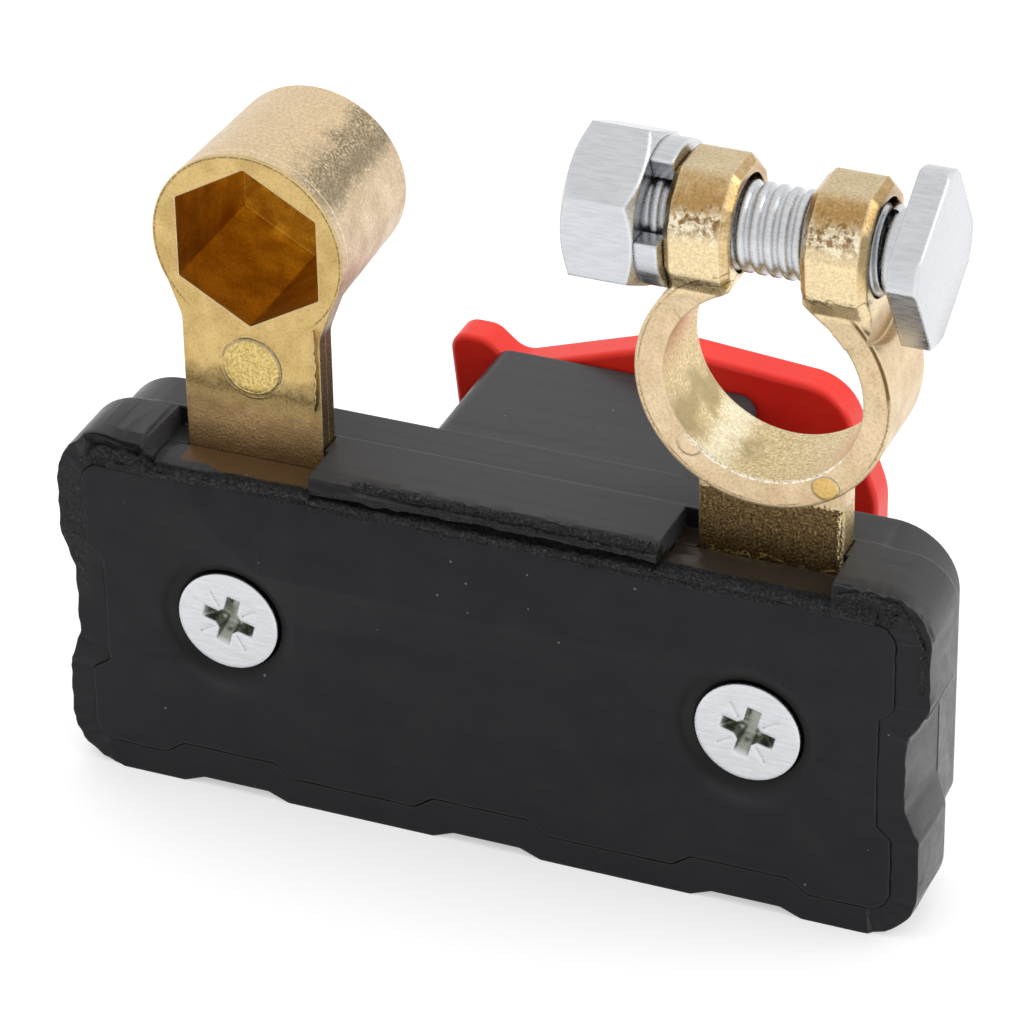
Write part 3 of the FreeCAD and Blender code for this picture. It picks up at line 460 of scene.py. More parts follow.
def black_case_finish(name, low_gloss, high_gloss):
    """Black glass-filled plastic: a painted sheen on top, torn along the cut edges, with faint mould lines.
    """
    material, tree, shader, where = new_finish(name, 0.0, 0.42, 0.2)
    along, depth, up = places(tree, where)
    facing = normal_parts(tree)
    grain = place_group(tree, "surface grain", Vector=where, Scale=2600.0, Swell=260.0)
    crumbs = place_group(tree, "surface grain", Vector=where, **CRUMBS)
    streak = place_group(tree, "streaks", Vector=where, Scale=(40.0, 900.0, 900.0)).outputs["Mask"]
    specks = place_group(tree, "dust specks", Vector=where, Scale=700.0, Share=0.12, Size=0.11)
    edges = place_group(tree, "rounded edges", Radius=0.0003)
    blotch, crumb = grain.outputs["Blotch"], crumbs.outputs["Blotch"]
    base = mottled(tree, blotch, 0.35, 0.7, Plastic.deep, Plastic.plain)
    base = shade_screw_seats(tree, where, depth, base)
    # Painted sheen on the faces that look up, broken by faint streaks
    on_top = ramp(tree, facing["Z"], 0.55, 0.95)
    base = stained(tree, base, Plastic.painted_top_sheen, on_top, ramp(tree, streak, 0.3, 0.7, 0.7, 1.0))
    # Painted sheen on the faces that look right
    base = stained(tree, base, Plastic.painted_right_sheen, ramp(tree, facing["X"], 0.2, 0.9, 0.0, 0.7))
    mould = either(tree, *[zone(tree, depth, near, far, 0.04) for near, far in MOULD_LINES])
    base = stained(tree, base, Plastic.mould_line, mould, ramp(tree, facing["Z"], -0.2, 0.3),
                   ramp(tree, up, 34.2, 34.8), 0.5)
    slots = both(tree, zone(tree, up, 32.9, 33.25, 0.03),
                 ramp(tree, depth, 0.9, 1.2), ramp(tree, depth, 7.4, 7.2))
    smear = mottled(tree, along, -18.0, 18.0, Plastic.brown_slot, Plastic.dark_slot)
    base = stained(tree, base, smear, slots, zone(tree, along, -29.6, 32.2, 0.05))
    # Painted shade on the block's front face under its torn brow
    under_block = ramp(tree, math_node(tree, "ABSOLUTE", along), 16.6, 16.3)
    painted_block_shade = both(tree, zone(tree, up, 33.3, 34.7, 0.1), ramp(tree, facing["Z"], 0.4, 0.1),
               ramp(tree, depth, 2.0, 1.5))
    base = stained(tree, base, Plastic.painted_block_shade, painted_block_shade, under_block, 0.8)
    torn = torn_places(tree, along, depth, up, blotch, crumb)
    torn_tone = mottled(tree, crumb, 0.36, 0.62, Plastic.torn_deep, Plastic.torn_plain)
    torn_tone = flecked(tree, torn_tone, crumb, 0.63, 0.7, 0.7, Plastic.torn_crumb)
    base = stained(tree, base, torn_tone, torn)
    # Paler edges: partly wear, partly a painted highlight
    base = stained(tree, base, Plastic.wear_and_edge_highlight, edges.outputs["Mask"], 0.35)
    base = stained(tree, base, Plastic.dust, specks.outputs["Mask"], 0.6)
    rough = ramp(tree, streak, 0.3, 0.7, low_gloss, high_gloss)
    rough = math_node(tree, "ADD", rough, both(tree, torn, 0.3), clamp=True)
    rough = math_node(tree, "SUBTRACT", rough, both(tree, slots, 0.2))
    fine = add_bump(tree, grain.outputs["Height"], 0.00003, 0.5, edges.outputs["Normal"])
    coarse = add_bump(tree, crumbs.outputs["Height"], 0.00025, torn, fine)
    complete(tree, shader, base, rough, coarse)
    return material


def red_lever_finish():
    """Bright red moulded plastic, half gloss."""
    material, tree, shader, where = new_finish("red_lever_plastic", 0.0, 0.34, 0.35)
    grain = place_group(tree, "surface grain", Vector=where, Scale=700.0, Swell=90.0)
    edges = place_group(tree, "rounded edges", Radius=0.0003)
    blotch = grain.outputs["Blotch"]
    base = mottled(tree, blotch, 0.3, 0.7, Lever.deep, Lever.plain)
    # Paler edges: partly wear, partly a painted highlight
    base = stained(tree, base, Lever.wear_and_edge_highlight, edges.outputs["Mask"], 0.3)
    bump = add_bump(tree, grain.outputs["Height"], 0.00004, 0.5, edges.outputs["Normal"])
    complete(tree, shader, base, ramp(tree, blotch, 0.3, 0.7, 0.3, 0.42), bump)
    return material


class BrassGround:
    """The grain, blotches, specks and places that both castings share."""

    def __init__(self, name, edge_radius):
        self.material, self.tree, self.shader, self.where = new_finish(name, 1.0, 0.38)
        grain = place_group(self.tree, "surface grain", Vector=self.where, Scale=4200.0, Swell=420.0)
        coarse = place_group(self.tree, "surface grain", Vector=self.where, Scale=9000.0, Swell=4000.0)
        self.edges = place_group(self.tree, "rounded edges", Radius=edge_radius)
        self.height = grain.outputs["Height"]
        self.blotch = grain.outputs["Blotch"]
        self.speck = coarse.outputs["Blotch"]
        self.along, self.depth, self.up = places(self.tree, self.where)

    def finish(self, base, roughness, bump_strength, hollow=None):
        """Flecks, and edge wear with a painted edge highlight, over the base colour, the edges of a hollow
        left out, and the bump.
        """
        tree = self.tree
        fleck = ramp(tree, self.speck, 0.32, 0.68, 0.8, 1.14)
        base = tint(tree, 1.0, base, fleck, "MULTIPLY")
        # Paler edges: partly wear, partly a painted highlight
        worn = both(tree, self.edges.outputs["Mask"], 0.55)
        if hollow is not None:
            worn = both(tree, worn, math_node(tree, "SUBTRACT", 1.0, hollow))
        base = stained(tree, base, Metal.brass_wear_and_edge_highlight, worn)
        bump = add_bump(tree, self.height, 0.00007, bump_strength, self.edges.outputs["Normal"])
        complete(tree, self.shader, base, roughness, bump)
        return self.material


def smudge_post_foot(ground, base, foot):
    """The brown foot of the post's strip and the dark smudge over it."""
    tree, blotch, speck = ground.tree, ground.blotch, ground.speck
    brown = mottled(tree, blotch, 0.35, 0.65, PostBrass.brown, PostBrass.pale_brown)
    brown = flecked(tree, brown, speck, 0.52, 0.64, 0.55, PostBrass.brown_fleck)
    base = stained(tree, base, brown, foot)
    level = wobble(tree, ground.up, blotch, 0.9)
    smudge = both(tree, zone(tree, level, 38.6, 41.0, 1.1), ramp(tree, speck, 0.3, 0.7, 1.0, 0.75))
    return stained(tree, base, PostBrass.smudge, smudge, 0.9)


def colour_casting_mark(ground, base, on_strip):
    """The round mark on the post's strip, with painted shade in its groove that fades towards its upper
    right.
    """
    tree, blotch, speck = ground.tree, ground.blotch, ground.speck
    reach, angle = about_axis(tree, ground.where, MARK_X, MARK_Z)
    gold = mottled(tree, speck, 0.35, 0.65, PostBrass.mark, PostBrass.pale_mark)
    base = stained(tree, base, gold, ramp(tree, reach, 2.7, 2.5), on_strip)
    turned = math_node(tree, "ABSOLUTE", math_node(tree, "SUBTRACT", angle, 30.0))
    fade = ramp(tree, wobble(tree, turned, blotch, 25.0), 150.0, 75.0, 0.25, 1.0)
    broken = ramp(tree, speck, 0.3, 0.55, 1.0, 0.5)
    # Painted shade in the groove round the mark
    return stained(tree, base, PostBrass.groove, zone(tree, reach, 2.6, 2.85, 0.08), on_strip, broken, fade)


def post_brass_finish():
    """Brass of the post: tan face, straw barrel, amber socket and a smudged foot."""
    ground = BrassGround("post_brass", 0.0002)
    tree, blotch, speck, depth = ground.tree, ground.blotch, ground.speck, ground.depth
    reach, angle = about_axis(tree, ground.where, POST_X, POST_Z)
    behind = ramp(tree, depth, 4.95, 5.05)
    on_strip = math_node(tree, "SUBTRACT", 1.0, behind)
    on_barrel = both(tree, behind, ramp(tree, reach, 8.2, 8.3))
    in_socket = both(tree, behind, ramp(tree, reach, 7.9, 7.8), ramp(tree, depth, 19.5, 19.3))
    face = mottled(tree, blotch, 0.38, 0.64, PostBrass.tan, PostBrass.pale_tan)
    face = flecked(tree, face, speck, 0.58, 0.7, 0.5, PostBrass.tan_fleck)
    straw = mottled(tree, blotch, 0.38, 0.64, PostBrass.straw, PostBrass.pale_straw)
    # Painted highlight along the top of the barrel
    painted_crown_highlight = zone(tree, wobble(tree, angle, blotch, 8.0), 58.0, 125.0, 9.0)
    straw = stained(tree, straw, PostBrass.painted_crown_highlight, painted_crown_highlight)
    base = stained(tree, face, straw, on_barrel)
    # A painted dark reflection band on the barrel's upper right, with painted glints in it
    bent = wobble(tree, angle, blotch, 7.0)
    painted_band_tone = mottled(tree, speck, 0.4, 0.62, PostBrass.painted_band_dark, PostBrass.painted_band_pale)
    painted_band_tone = flecked(tree, painted_band_tone, speck, 0.6, 0.68, 0.45, PostBrass.painted_band_glint)
    painted_band_tone = stained(tree, painted_band_tone, PostBrass.painted_band_core, zone(tree, bent, 31.0, 45.0, 5.0), 0.8)
    band = both(tree, on_barrel, zone(tree, bent, 30.0, 59.0, 5.0), ramp(tree, depth, 5.0, 6.5, 0.6, 1.0))
    base = stained(tree, base, painted_band_tone, band, 0.85)
    amber = mottled(tree, blotch, 0.36, 0.66, PostBrass.amber, PostBrass.pale_amber)
    base = stained(tree, base, amber, in_socket)
    foot = ramp(tree, wobble(tree, ground.up, blotch, 0.9), 39.2, 37.6)
    base = smudge_post_foot(ground, base, foot)
    base = colour_casting_mark(ground, base, on_strip)
    rim = both(tree, zone(tree, reach, 8.7, 8.88, 0.05), on_strip, ramp(tree, speck, 0.44, 0.5))
    base = stained(tree, base, PostBrass.rim, rim, ramp(tree, ground.up, 47.0, 48.0), 0.8)
    # Painted shade on the strip's end face that looks right
    flank = mottled(tree, speck, 0.38, 0.62, PostBrass.flank, PostBrass.pale_flank)
    right_edge = both(tree, ramp(tree, ground.along, -16.85, -16.75), ramp(tree, ground.up, 47.5, 46.5))
    base = stained(tree, base, flank, right_edge, 0.85)
    # Painted highlight line round the barrel
    base = stained(tree, base, PostBrass.painted_barrel_highlight, zone(tree, depth, 6.0, 6.12, 0.04), on_barrel, 0.6)
    rough = ramp(tree, blotch, 0.3, 0.7, 0.44, 0.32)
    strength = math_node(tree, "ADD", ramp(tree, band, 0.0, 1.0, 0.5, 1.0), both(tree, foot, 0.3))
    return ground.finish(base, rough, strength, in_socket)


def colour_bore(ground, base, angle, in_bore):
    """The ring's mottled bore, with a painted highlight, tool rings and two stains."""
    tree, blotch, speck = ground.tree, ground.blotch, ground.speck
    gold = mottled(tree, speck, 0.36, 0.62, ClampBrass.bore, ClampBrass.pale_bore)
    # Painted highlight inside the bore
    flash = zone(tree, wobble(tree, angle, blotch, 8.0), -130.0, -112.0, 6.0)
    gold = stained(tree, gold, ClampBrass.painted_bore_highlight, flash)
    rings = place_group(tree, "streaks", Vector=ground.where, Scale=(300.0, 5000.0, 300.0))
    gold = flecked(tree, gold, rings.outputs["Mask"], 0.5, 0.75, 0.35, ClampBrass.bore_ring)
    base = stained(tree, base, gold, in_bore)
    bent = wobble(tree, angle, blotch, 14.0)
    middle = zone(tree, wobble(tree, ground.depth, blotch, 2.0), 7.0, 10.0, 1.0)
    low_patch = both(tree, zone(tree, bent, -108.0, -98.0, 5.0), middle)
    patch = either(tree, zone(tree, bent, -158.0, -137.0, 6.0), low_patch)
    thin = ramp(tree, speck, 0.38, 0.6, 0.3, 1.0)
    return stained(tree, base, ClampBrass.bore_stain, in_bore, patch, thin, 0.7)


def colour_ears(ground, base, ears):
    """The ears' painted reflections: plain on top, brown bands and glints in front, and painted shade on
    their right slopes.
    """
    tree, blotch, depth = ground.tree, ground.blotch, ground.depth
    facing = normal_parts(tree)
    dents = place_group(tree, "surface grain", Vector=ground.where, Scale=1700.0, Swell=1000.0)
    bumpy_up = wobble(tree, ground.up, dents.outputs["Blotch"], 0.9)
    level = math_node(tree, "MULTIPLY_ADD", ground.along, -0.055, bumpy_up)
    # The ears' tones are painted reflections: one for faces that look up, bands by height in front, and
    # painted glints
    top = mottled(tree, blotch, 0.35, 0.65, ClampBrass.ear_top_reflection, ClampBrass.pale_ear_top_reflection)
    brow = mottled(tree, level, 66.0, 69.0, ClampBrass.brow, ClampBrass.pale_brow_reflection)
    front = mottled(tree, level, 63.2, 64.4, ClampBrass.ear_front_reflection, brow)
    painted_glitter = mottled(tree, dents.outputs["Height"], 0.78, 0.98, ClampBrass.painted_dark_glitter, ClampBrass.painted_glitter_glint)
    glittering = both(tree, zone(tree, level, 63.2, 65.2, 0.45), ramp(tree, depth, 9.0, 5.0, 0.1, 0.85))
    front = stained(tree, front, painted_glitter, glittering)
    # Painted shade along the ledge under the ears' fronts
    front = stained(tree, front, ClampBrass.painted_ledge_shade, zone(tree, level, 58.35, 58.6, 0.12), 0.8)
    painted_ear_reflections = tint(tree, ramp(tree, facing["Z"], 0.95, 0.75), top, front)
    # Painted shade on the slopes that look right
    slope = both(tree, zone(tree, facing["X"], 0.4, 0.93, 0.06), zone(tree, level, 59.5, 66.5, 1.2))
    slope_shade_tone = mottled(tree, dents.outputs["Height"], 0.4, 0.8,
                         ClampBrass.painted_slope_shade, ClampBrass.pale_slope_shade)
    painted_ear_reflections = stained(tree, painted_ear_reflections, slope_shade_tone, slope, ramp(tree, depth, 9.0, 6.0), 0.75)
    return stained(tree, base, painted_ear_reflections, ears)


def colour_clamp_strip(ground, base, strip):
    """The strip under the ring, darkened with painted shade, chipped at its right and with a gold hem."""
    tree, blotch, speck = ground.tree, ground.blotch, ground.speck
    # Painted shade on the strip under the ring
    painted_strip_shade = mottled(tree, speck, 0.36, 0.64, ClampBrass.painted_strip_shade, ClampBrass.pale_strip_shade)
    painted_strip_shade = flecked(tree, painted_strip_shade, speck, 0.6, 0.68, 0.6, ClampBrass.strip_shade_fleck)
    base = stained(tree, base, painted_strip_shade, strip)
    right_edge = ramp(tree, wobble(tree, ground.along, speck, 0.8), 31.0, 31.2)
    base = stained(tree, base, ClampBrass.chipped, strip, right_edge)
    hem = zone(tree, wobble(tree, ground.up, blotch, 1.3), 33.25, 33.5, 0.05)
    return stained(tree, base, ClampBrass.hem, hem, ramp(tree, speck, 0.42, 0.5))


def colour_ring_face(ground, base, reach, angle):
    """The ring's face: one gold casting mark, fine lines of painted shade and a painted highlight on the
    bore's edge.
    """
    tree, blotch, speck = ground.tree, ground.blotch, ground.speck
    on_face = ramp(tree, ground.depth, 4.6, 4.5)
    mark_reach = about_axis(tree, ground.where, GOLD_MARK_X, GOLD_MARK_Z)[0]
    base = stained(tree, base, ClampBrass.gold_mark, on_face, ramp(tree, mark_reach, 1.2, 1.1), 0.8)
    mark_ring = both(tree, on_face, zone(tree, mark_reach, 1.16, 1.26, 0.04),
                     ramp(tree, blotch, 0.4, 0.5, 0.4, 1.0))
    line = both(tree, zone(tree, wobble(tree, reach, speck, 0.12), 11.02, 11.16, 0.05), on_face)
    line = both(tree, line, ramp(tree, blotch, 0.42, 0.52), 0.7)
    shoulder = both(tree, zone(tree, reach, 10.95, 11.3, 0.06), on_face, zone(tree, angle, 4.0, 46.0, 3.0))
    # Painted shade in fine creases: round the gold mark, round the face, and on its upper right shoulder
    base = stained(tree, base, ClampBrass.painted_crease_shade, either(tree, mark_ring, shoulder, line))
    bore_edge = both(tree, zone(tree, reach, 8.88, 9.08, 0.03), on_face,
                     zone(tree, angle, -137.0, -38.0, 4.0))
    return stained(tree, base, ClampBrass.glint, bore_edge, ramp(tree, speck, 0.46, 0.49))


def clamp_brass_finish():
    """Brass of the clamp: pale face, mottled bore, ears with painted reflections and a strip darkened with
    painted shade.
    """
    ground = BrassGround("clamp_brass", 0.0004)
    tree, blotch, speck = ground.tree, ground.blotch, ground.speck
    reach, angle = about_axis(tree, ground.where, RING_X, RING_Z)
    in_bore = both(tree, ramp(tree, ground.depth, 4.45, 4.6), ramp(tree, reach, 9.15, 9.05),
                   ramp(tree, ground.up, 58.5, 57.5))
    ears = ramp(tree, ground.up, 57.6, 58.4)
    strip = both(tree, ramp(tree, wobble(tree, ground.up, speck, 0.4), 39.6, 39.3),
                 ramp(tree, ground.depth, 4.5, 4.65))
    base = mottled(tree, blotch, 0.38, 0.64, ClampBrass.pale, ClampBrass.paler)
    base = flecked(tree, base, speck, 0.58, 0.7, 0.5, ClampBrass.pale_fleck)
    base = colour_bore(ground, base, angle, in_bore)
    base = colour_ears(ground, base, ears)
    base = colour_clamp_strip(ground, base, strip)
    base = colour_ring_face(ground, base, reach, angle)
    rough = math_node(tree, "ADD", ramp(tree, blotch, 0.3, 0.7, 0.42, 0.3), both(tree, ears, -0.14))
    strength = math_node(tree, "ADD", ramp(tree, in_bore, 0.0, 1.0, 0.5, 0.9), both(tree, strip, 0.4))
    strength = math_node(tree, "SUBTRACT", strength, both(tree, ears, 0.2))
    return ground.finish(base, rough, strength)


def metal_finish(name, dark, light, rough_low, rough_high, recess=False):
    """Turned or plated metal with fine tool lines, and painted shade in the screws' recesses."""
    material, tree, shader, where = new_finish(name, 1.0, rough_low)
    streak = place_group(tree, "streaks", Vector=where, Scale=(500.0, 3600.0, 3600.0)).outputs["Mask"]
    edges = place_group(tree, "rounded edges", Radius=0.0005)
    base = mottled(tree, streak, 0.3, 0.7, dark, light)
    # Paler edges: partly wear, partly a painted highlight
    base = stained(tree, base, Metal.wear_and_edge_highlight, edges.outputs["Mask"], 0.5)
    if recess:
        along, depth, up = places(tree, where)
        across = math_node(tree, "SUBTRACT", math_node(tree, "ABSOLUTE", along), SCREW_X)
        sideways = zone(tree, across, -RECESS_REACH, RECESS_REACH, 0.1)
        upright = zone(tree, up, SCREW_Z - RECESS_REACH, SCREW_Z + RECESS_REACH, 0.1)
        # Painted shade in the screws' recesses
        painted_recess_shade = tint(tree, streak, Metal.painted_recess_shade, Metal.pale_recess_shade)
        base = stained(tree, base, painted_recess_shade, sideways, upright, ramp(tree, depth, 0.15, 0.6), 0.85)
    rough = ramp(tree, streak, 0.3, 0.7, rough_low, rough_high)
    complete(tree, shader, base, rough, add_bump(tree, streak, 0.00002, 0.4, edges.outputs["Normal"]))
    return material


def plain_finish(name, dark, light, roughness, specular=0.5):
    """Moulded plastic or rubber with a little grain."""
    material, tree, shader, where = new_finish(name, 0.0, roughness, specular)
    grain = place_group(tree, "surface grain", Vector=where, Scale=900.0, Swell=150.0)
    base = mottled(tree, grain.outputs["Blotch"], 0.3, 0.7, dark, light)
    complete(tree, shader, base, normal=add_bump(tree, grain.outputs["Height"], 0.00003, 0.5))
    return material


finishes = {
    "case_plastic": black_case_finish("black_case_plastic", 0.26, 0.4),
    "lever_plastic": red_lever_finish(),
    "cast_brass": post_brass_finish(),
    "zinc_steel": metal_finish("zinc_plate", (0.53, 0.545, 0.565), (0.65, 0.665, 0.69), 0.2, 0.34),
    "turned_steel": metal_finish("turned_steel", (0.45, 0.46, 0.48), (0.66, 0.67, 0.69), 0.25, 0.4),
    "spring_steel": metal_finish("spring_steel", (0.32, 0.32, 0.34), (0.5, 0.5, 0.52), 0.3, 0.45),
    "contact_copper": metal_finish("contact_copper", (0.62, 0.3, 0.17), (0.8, 0.45, 0.28), 0.25, 0.42),
    "rotor_plastic": plain_finish("rotor_plastic", (0.6, 0.56, 0.46), (0.72, 0.69, 0.6), 0.5),
    "seal_rubber": plain_finish("seal_rubber", (0.012, 0.012, 0.012), (0.02, 0.02, 0.02), 0.65, 0.4),
}
cover_plastic = black_case_finish("black_cover_plastic", 0.38, 0.5)
torn_plastic = torn_plastic_finish()
own_finishes = {
    "clamp_terminal": clamp_brass_finish(),
    "cover_screws": metal_finish("screw_zinc_plate", (0.56, 0.575, 0.595), (0.68, 0.695, 0.715), 0.2, 0.34,
                                 recess=True),
}

for part in frame["record"]["subparts"]:
    mesh = nodes[part["node"]].data
    mesh.materials.clear()
    mesh.materials.append(own_finishes.get(part["node"], finishes[part["material_slot"]]))


# Mesh helpers

def finish_piece(bm, name, body, slot, material=None, smooth_angle=30.0):
    """Turn a bmesh in millimetres into a piece that rides on its body."""
    bmesh.ops.scale(bm, vec=(MM, MM, MM), verts=bm.verts)
    limit = math.radians(smooth_angle)
    for face in bm.faces:
        face.smooth = True
    for edge in bm.edges:
        if len(edge.link_faces) == 2 and edge.calc_face_angle(0.0) > limit:
            edge.smooth = False
    mesh = bpy.data.meshes.new(name)
    bm.to_mesh(mesh)
    bm.free()
    mesh.materials.append(material or finishes[slot])
    piece = bpy.data.objects.new(name, mesh)
    bpy.context.scene.collection.objects.link(piece)
    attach(piece, body)
    return piece


def copy_of(node):
    """A CAD node's shape in millimetres, its loose triangles merged."""
    bm = bmesh.new()
    bm.from_mesh(nodes[node].data)
    bmesh.ops.scale(bm, vec=(1 / MM, 1 / MM, 1 / MM), verts=bm.verts)
    bmesh.ops.remove_doubles(bm, verts=bm.verts, dist=WELD)
    return bm


# Torn plastic of the case

# Without a seed of its own, noise_vector is seeded by the clock and differs from run to run
noise.seed_set(NOISE_SEED)


def smooth_step(value, low, high):
    """0 below one limit, 1 above the other, eased between them."""
    share = min(max((value - low) / (high - low), 0.0), 1.0)
    return share * share * (3 - 2 * share)


def ragged(point, size, seed):
    """Noise between 0 and 1 with features of one size in millimetres."""
    return 0.5 + 0.5 * noise.noise(Vector(point) / size + Vector((seed, seed * 1.7, -seed)))


def cut_across(bm, wanted, axis, places_mm):
    """Cut the wanted faces by parallel planes, so that their edges can be torn."""
    normal = Vector([float(index == axis) for index in range(3)])
    for place in places_mm:
        faces = [face for face in bm.faces if wanted(face)]
        around = {part for face in faces for part in (*face.verts, *face.edges)}
        bmesh.ops.bisect_plane(bm, geom=faces + list(around), plane_co=normal * place, plane_no=normal,
                               dist=0.0001)


def spaced(start, end, step):
    """Evenly spaced numbers."""
    return [start + step * index for index in range(int((end - start) / step) + 1)]


def near_top_front(face):
    """The front upper band of the case, where the moulding is torn."""
    depths = [vert.co.y - FACE_Y for vert in face.verts]
    return min(depths) < 1.6 and max(vert.co.z for vert in face.verts) > 31.6


def near_side_front(face):
    """The front edges of both side rims."""
    depths = [vert.co.y - FACE_Y for vert in face.verts]
    return min(depths) < 0.8 and max(abs(vert.co.x) for vert in face.verts) > 35.0


def near_lower_edge(face):
    """The lowest band of the cover."""
    return min(vert.co.z for vert in face.verts) < 4.5


def make_torn_cover():
    """The cover plate with its crumbled upper edge and an uneven outline."""
    bm = copy_of("back_cover")
    cut_across(bm, near_top_front, 0, spaced(-37.6, 37.6, 0.4))
    cut_across(bm, near_top_front, 2, (31.9, 32.3, 32.7, 32.95))
    cut_across(bm, near_top_front, 1, [FACE_Y + depth for depth in (0.3, 0.7, 1.2)])
    cut_across(bm, near_side_front, 2, spaced(1.5, 31.5, 1.0))
    cut_across(bm, near_lower_edge, 0, spaced(-37.0, 37.0, 1.0))
    for vert in bm.verts:
        x, depth, z = vert.co.x, vert.co.y - FACE_Y, vert.co.z
        torn = smooth_step(z, 31.7, 32.9) * smooth_step(1.6 - depth, 0.0, 0.6)
        lump = ragged((x, 0, z), 0.7, 3.1)
        if torn > 0 and abs(x) < 37.5:
            if depth < 0.8:
                vert.co.y += torn * 0.9 * lump * ragged((x, 0, z), 2.4, 8.3)
            if z > 32.9:
                worn = 0.75 * smooth_step(-x, 17.0, 30.0)
                rise = 0.9 * (ragged((x, 0, 0), 2.2, 5.7) - 0.5)
                rise += 0.5 * (ragged((x, depth, 0), 0.7, 1.9) - 0.5)
                if abs(x) < 16.3:
                    rise = min(rise - 0.3, 0.1)
                if x > 32.0:
                    rise -= 0.9 * smooth_step(x, 32.0, 34.0) * smooth_step(37.5 - x, 0.0, 2.0)
                vert.co.z += torn * (rise - worn)
        elif depth < 0.5 and (abs(x) > 35.5 or z < 4.8) and z < 31.5:
            if abs(x) > 35.5:
                vert.co.x -= math.copysign(0.22 * ragged((x, z, 0), 3.0, 2.2), x)
            if z < 4.8:
                vert.co.z += 0.2 * ragged((x, z, 0), 3.0, 6.1)
    bmesh.ops.recalc_face_normals(bm, faces=bm.faces)
    piece = finish_piece(bm, "torn_cover", "case", "case_plastic", cover_plastic)
    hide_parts("back_cover")


def make_torn_housing():
    """The housing with its ragged block, worn left lip and torn rims."""
    bm = copy_of("housing")
    cut_across(bm, near_top_front, 0, spaced(-40.6, 40.6, 0.4))
    cut_across(bm, near_top_front, 1, [FACE_Y + depth for depth in (0.3, 0.7, 1.2, 2.0)])
    cut_across(bm, near_top_front, 2, (33.8, 34.3, 34.8))
    cut_across(bm, near_side_front, 2, spaced(1.0, 33.0, 0.8))
    for vert in bm.verts:
        x, depth, z = vert.co.x, vert.co.y - FACE_Y, vert.co.z
        lump = ragged((x, depth, z), 0.7, 4.4)
        if abs(x) < 16.4 and z > 33.2 and depth < 1.6:
            crumbly = smooth_step(x, -13.0, -10.5) * 0.75 + 0.25
            if z > 34.6:
                front = smooth_step(1.3 - depth, 0.0, 0.9)
                vert.co.z -= crumbly * front * (0.25 + 0.9 * lump * ragged((x, 0, 0), 2.5, 9.2))
                if depth < 0.5:
                    vert.co.y += crumbly * 0.9 * ragged((x, z, 0), 0.9, 7.7)
            elif z < 33.9 and depth < 0.5:
                slow, quick = ragged((x, 0, 0), 3.2, 5.1), ragged((x, 0, 0), 0.9, 2.7)
                vert.co.z += 0.5 * (slow - 0.5) + 0.4 * (quick - 0.5)
                vert.co.z += 0.25 * smooth_step(x, -10.0, -4.0)
                vert.co.y += 0.3 * ragged((x, 0, 0), 1.5, 7.1)
        elif x < -31.0 and z > 33.4 and depth < 6.8:
            drop = 1.45 * smooth_step(2.6 - depth, 0.0, 2.4) * smooth_step(x, -39.5, -34.0)
            inner = smooth_step(x, -33.2, -32.0)
            lumpy = 0.4 * lump * inner * smooth_step(2.2 - depth, -4.6, 2.0)
            vert.co.z -= min(drop + lumpy, max(z - 33.35, 0.0))
            bitten = 0.5 * ragged((0, depth, z), 1.1, 6.6) + 1.1 * smooth_step(3.5 - depth, 0.0, 3.5)
            vert.co.x -= inner * bitten
            if depth < 0.8 and x > -38.5:
                vert.co.y += 0.9 + 0.5 * lump
        elif x > 31.5 and z > 33.4 and depth < 2.0:
            vert.co.z -= 0.55 * lump * smooth_step(1.4 - depth, 0.0, 1.0)
            if depth < 0.5:
                vert.co.y += 0.6 * ragged((x, 0, z), 0.8, 3.8)
        elif depth < 0.35 and abs(x) > 36.0:
            vert.co.y += 0.4 * ragged((x, 0, z), 0.9, 8.8)
            vert.co.x -= math.copysign(0.3 * ragged((x, 0, z), 1.2, 1.3), x)
    bmesh.ops.recalc_face_normals(bm, faces=bm.faces)
    piece = finish_piece(bm, "torn_housing", "case", "case_plastic")
    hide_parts("housing")


def make_casting_mark():
    """The lumpy disc with its raised rim on the post's strip."""
    bm = bmesh.new()
    profile = [(0.0, 0.2), (0.5, 0.24), (1.0, 0.19), (1.5, 0.24), (2.0, 0.2), (2.35, 0.2), (2.6, 0.06),
               (2.7, -0.08), (2.82, 0.1), (3.0, 0.2), (3.2, 0.12), (3.4, -0.1)]
    verts = [bm.verts.new((MARK_X + reach, SHEET_Y - rise, MARK_Z)) for reach, rise in profile]
    edges = [bm.edges.new(pair) for pair in zip(verts, verts[1:])]
    bmesh.ops.spin(bm, geom=verts + edges, cent=(MARK_X, SHEET_Y, MARK_Z), axis=(0, 1, 0),
                   angle=math.tau, steps=60, use_merge=True)
    bmesh.ops.remove_doubles(bm, verts=bm.verts, dist=WELD)
    for vert in bm.verts:
        x, z = vert.co.x - MARK_X, vert.co.z - MARK_Z
        reach = math.hypot(x, z)
        if reach < 3.3:
            vert.co.y -= 0.16 * (ragged((x, 0, z), 0.8, 2.5) - 0.5)
        if 2.75 < reach < 3.3:
            vert.co.y += 0.22 * ragged((x, 0, z), 2.2, 6.9)
    bmesh.ops.recalc_face_normals(bm, faces=bm.faces)
    for face in bm.faces:
        if face.normal.y > 0 and face.calc_center_median().y < SHEET_Y - 0.02:
            bmesh.ops.reverse_faces(bm, faces=bm.faces)
            break
    finish_piece(bm, "post_casting_mark", "case", "cast_brass", smooth_angle=50.0)


def along_path(points, share):
    """The place on a run of straight lines at a share of its whole length."""
    lengths = [(Vector(b) - Vector(a)).length for a, b in zip(points, points[1:])]
    left = share * sum(lengths)
    for start, end, length in zip(points, points[1:], lengths):
        if left <= length:
            return Vector(start).lerp(Vector(end), left / length)
        left -= length
    return Vector(points[-1])


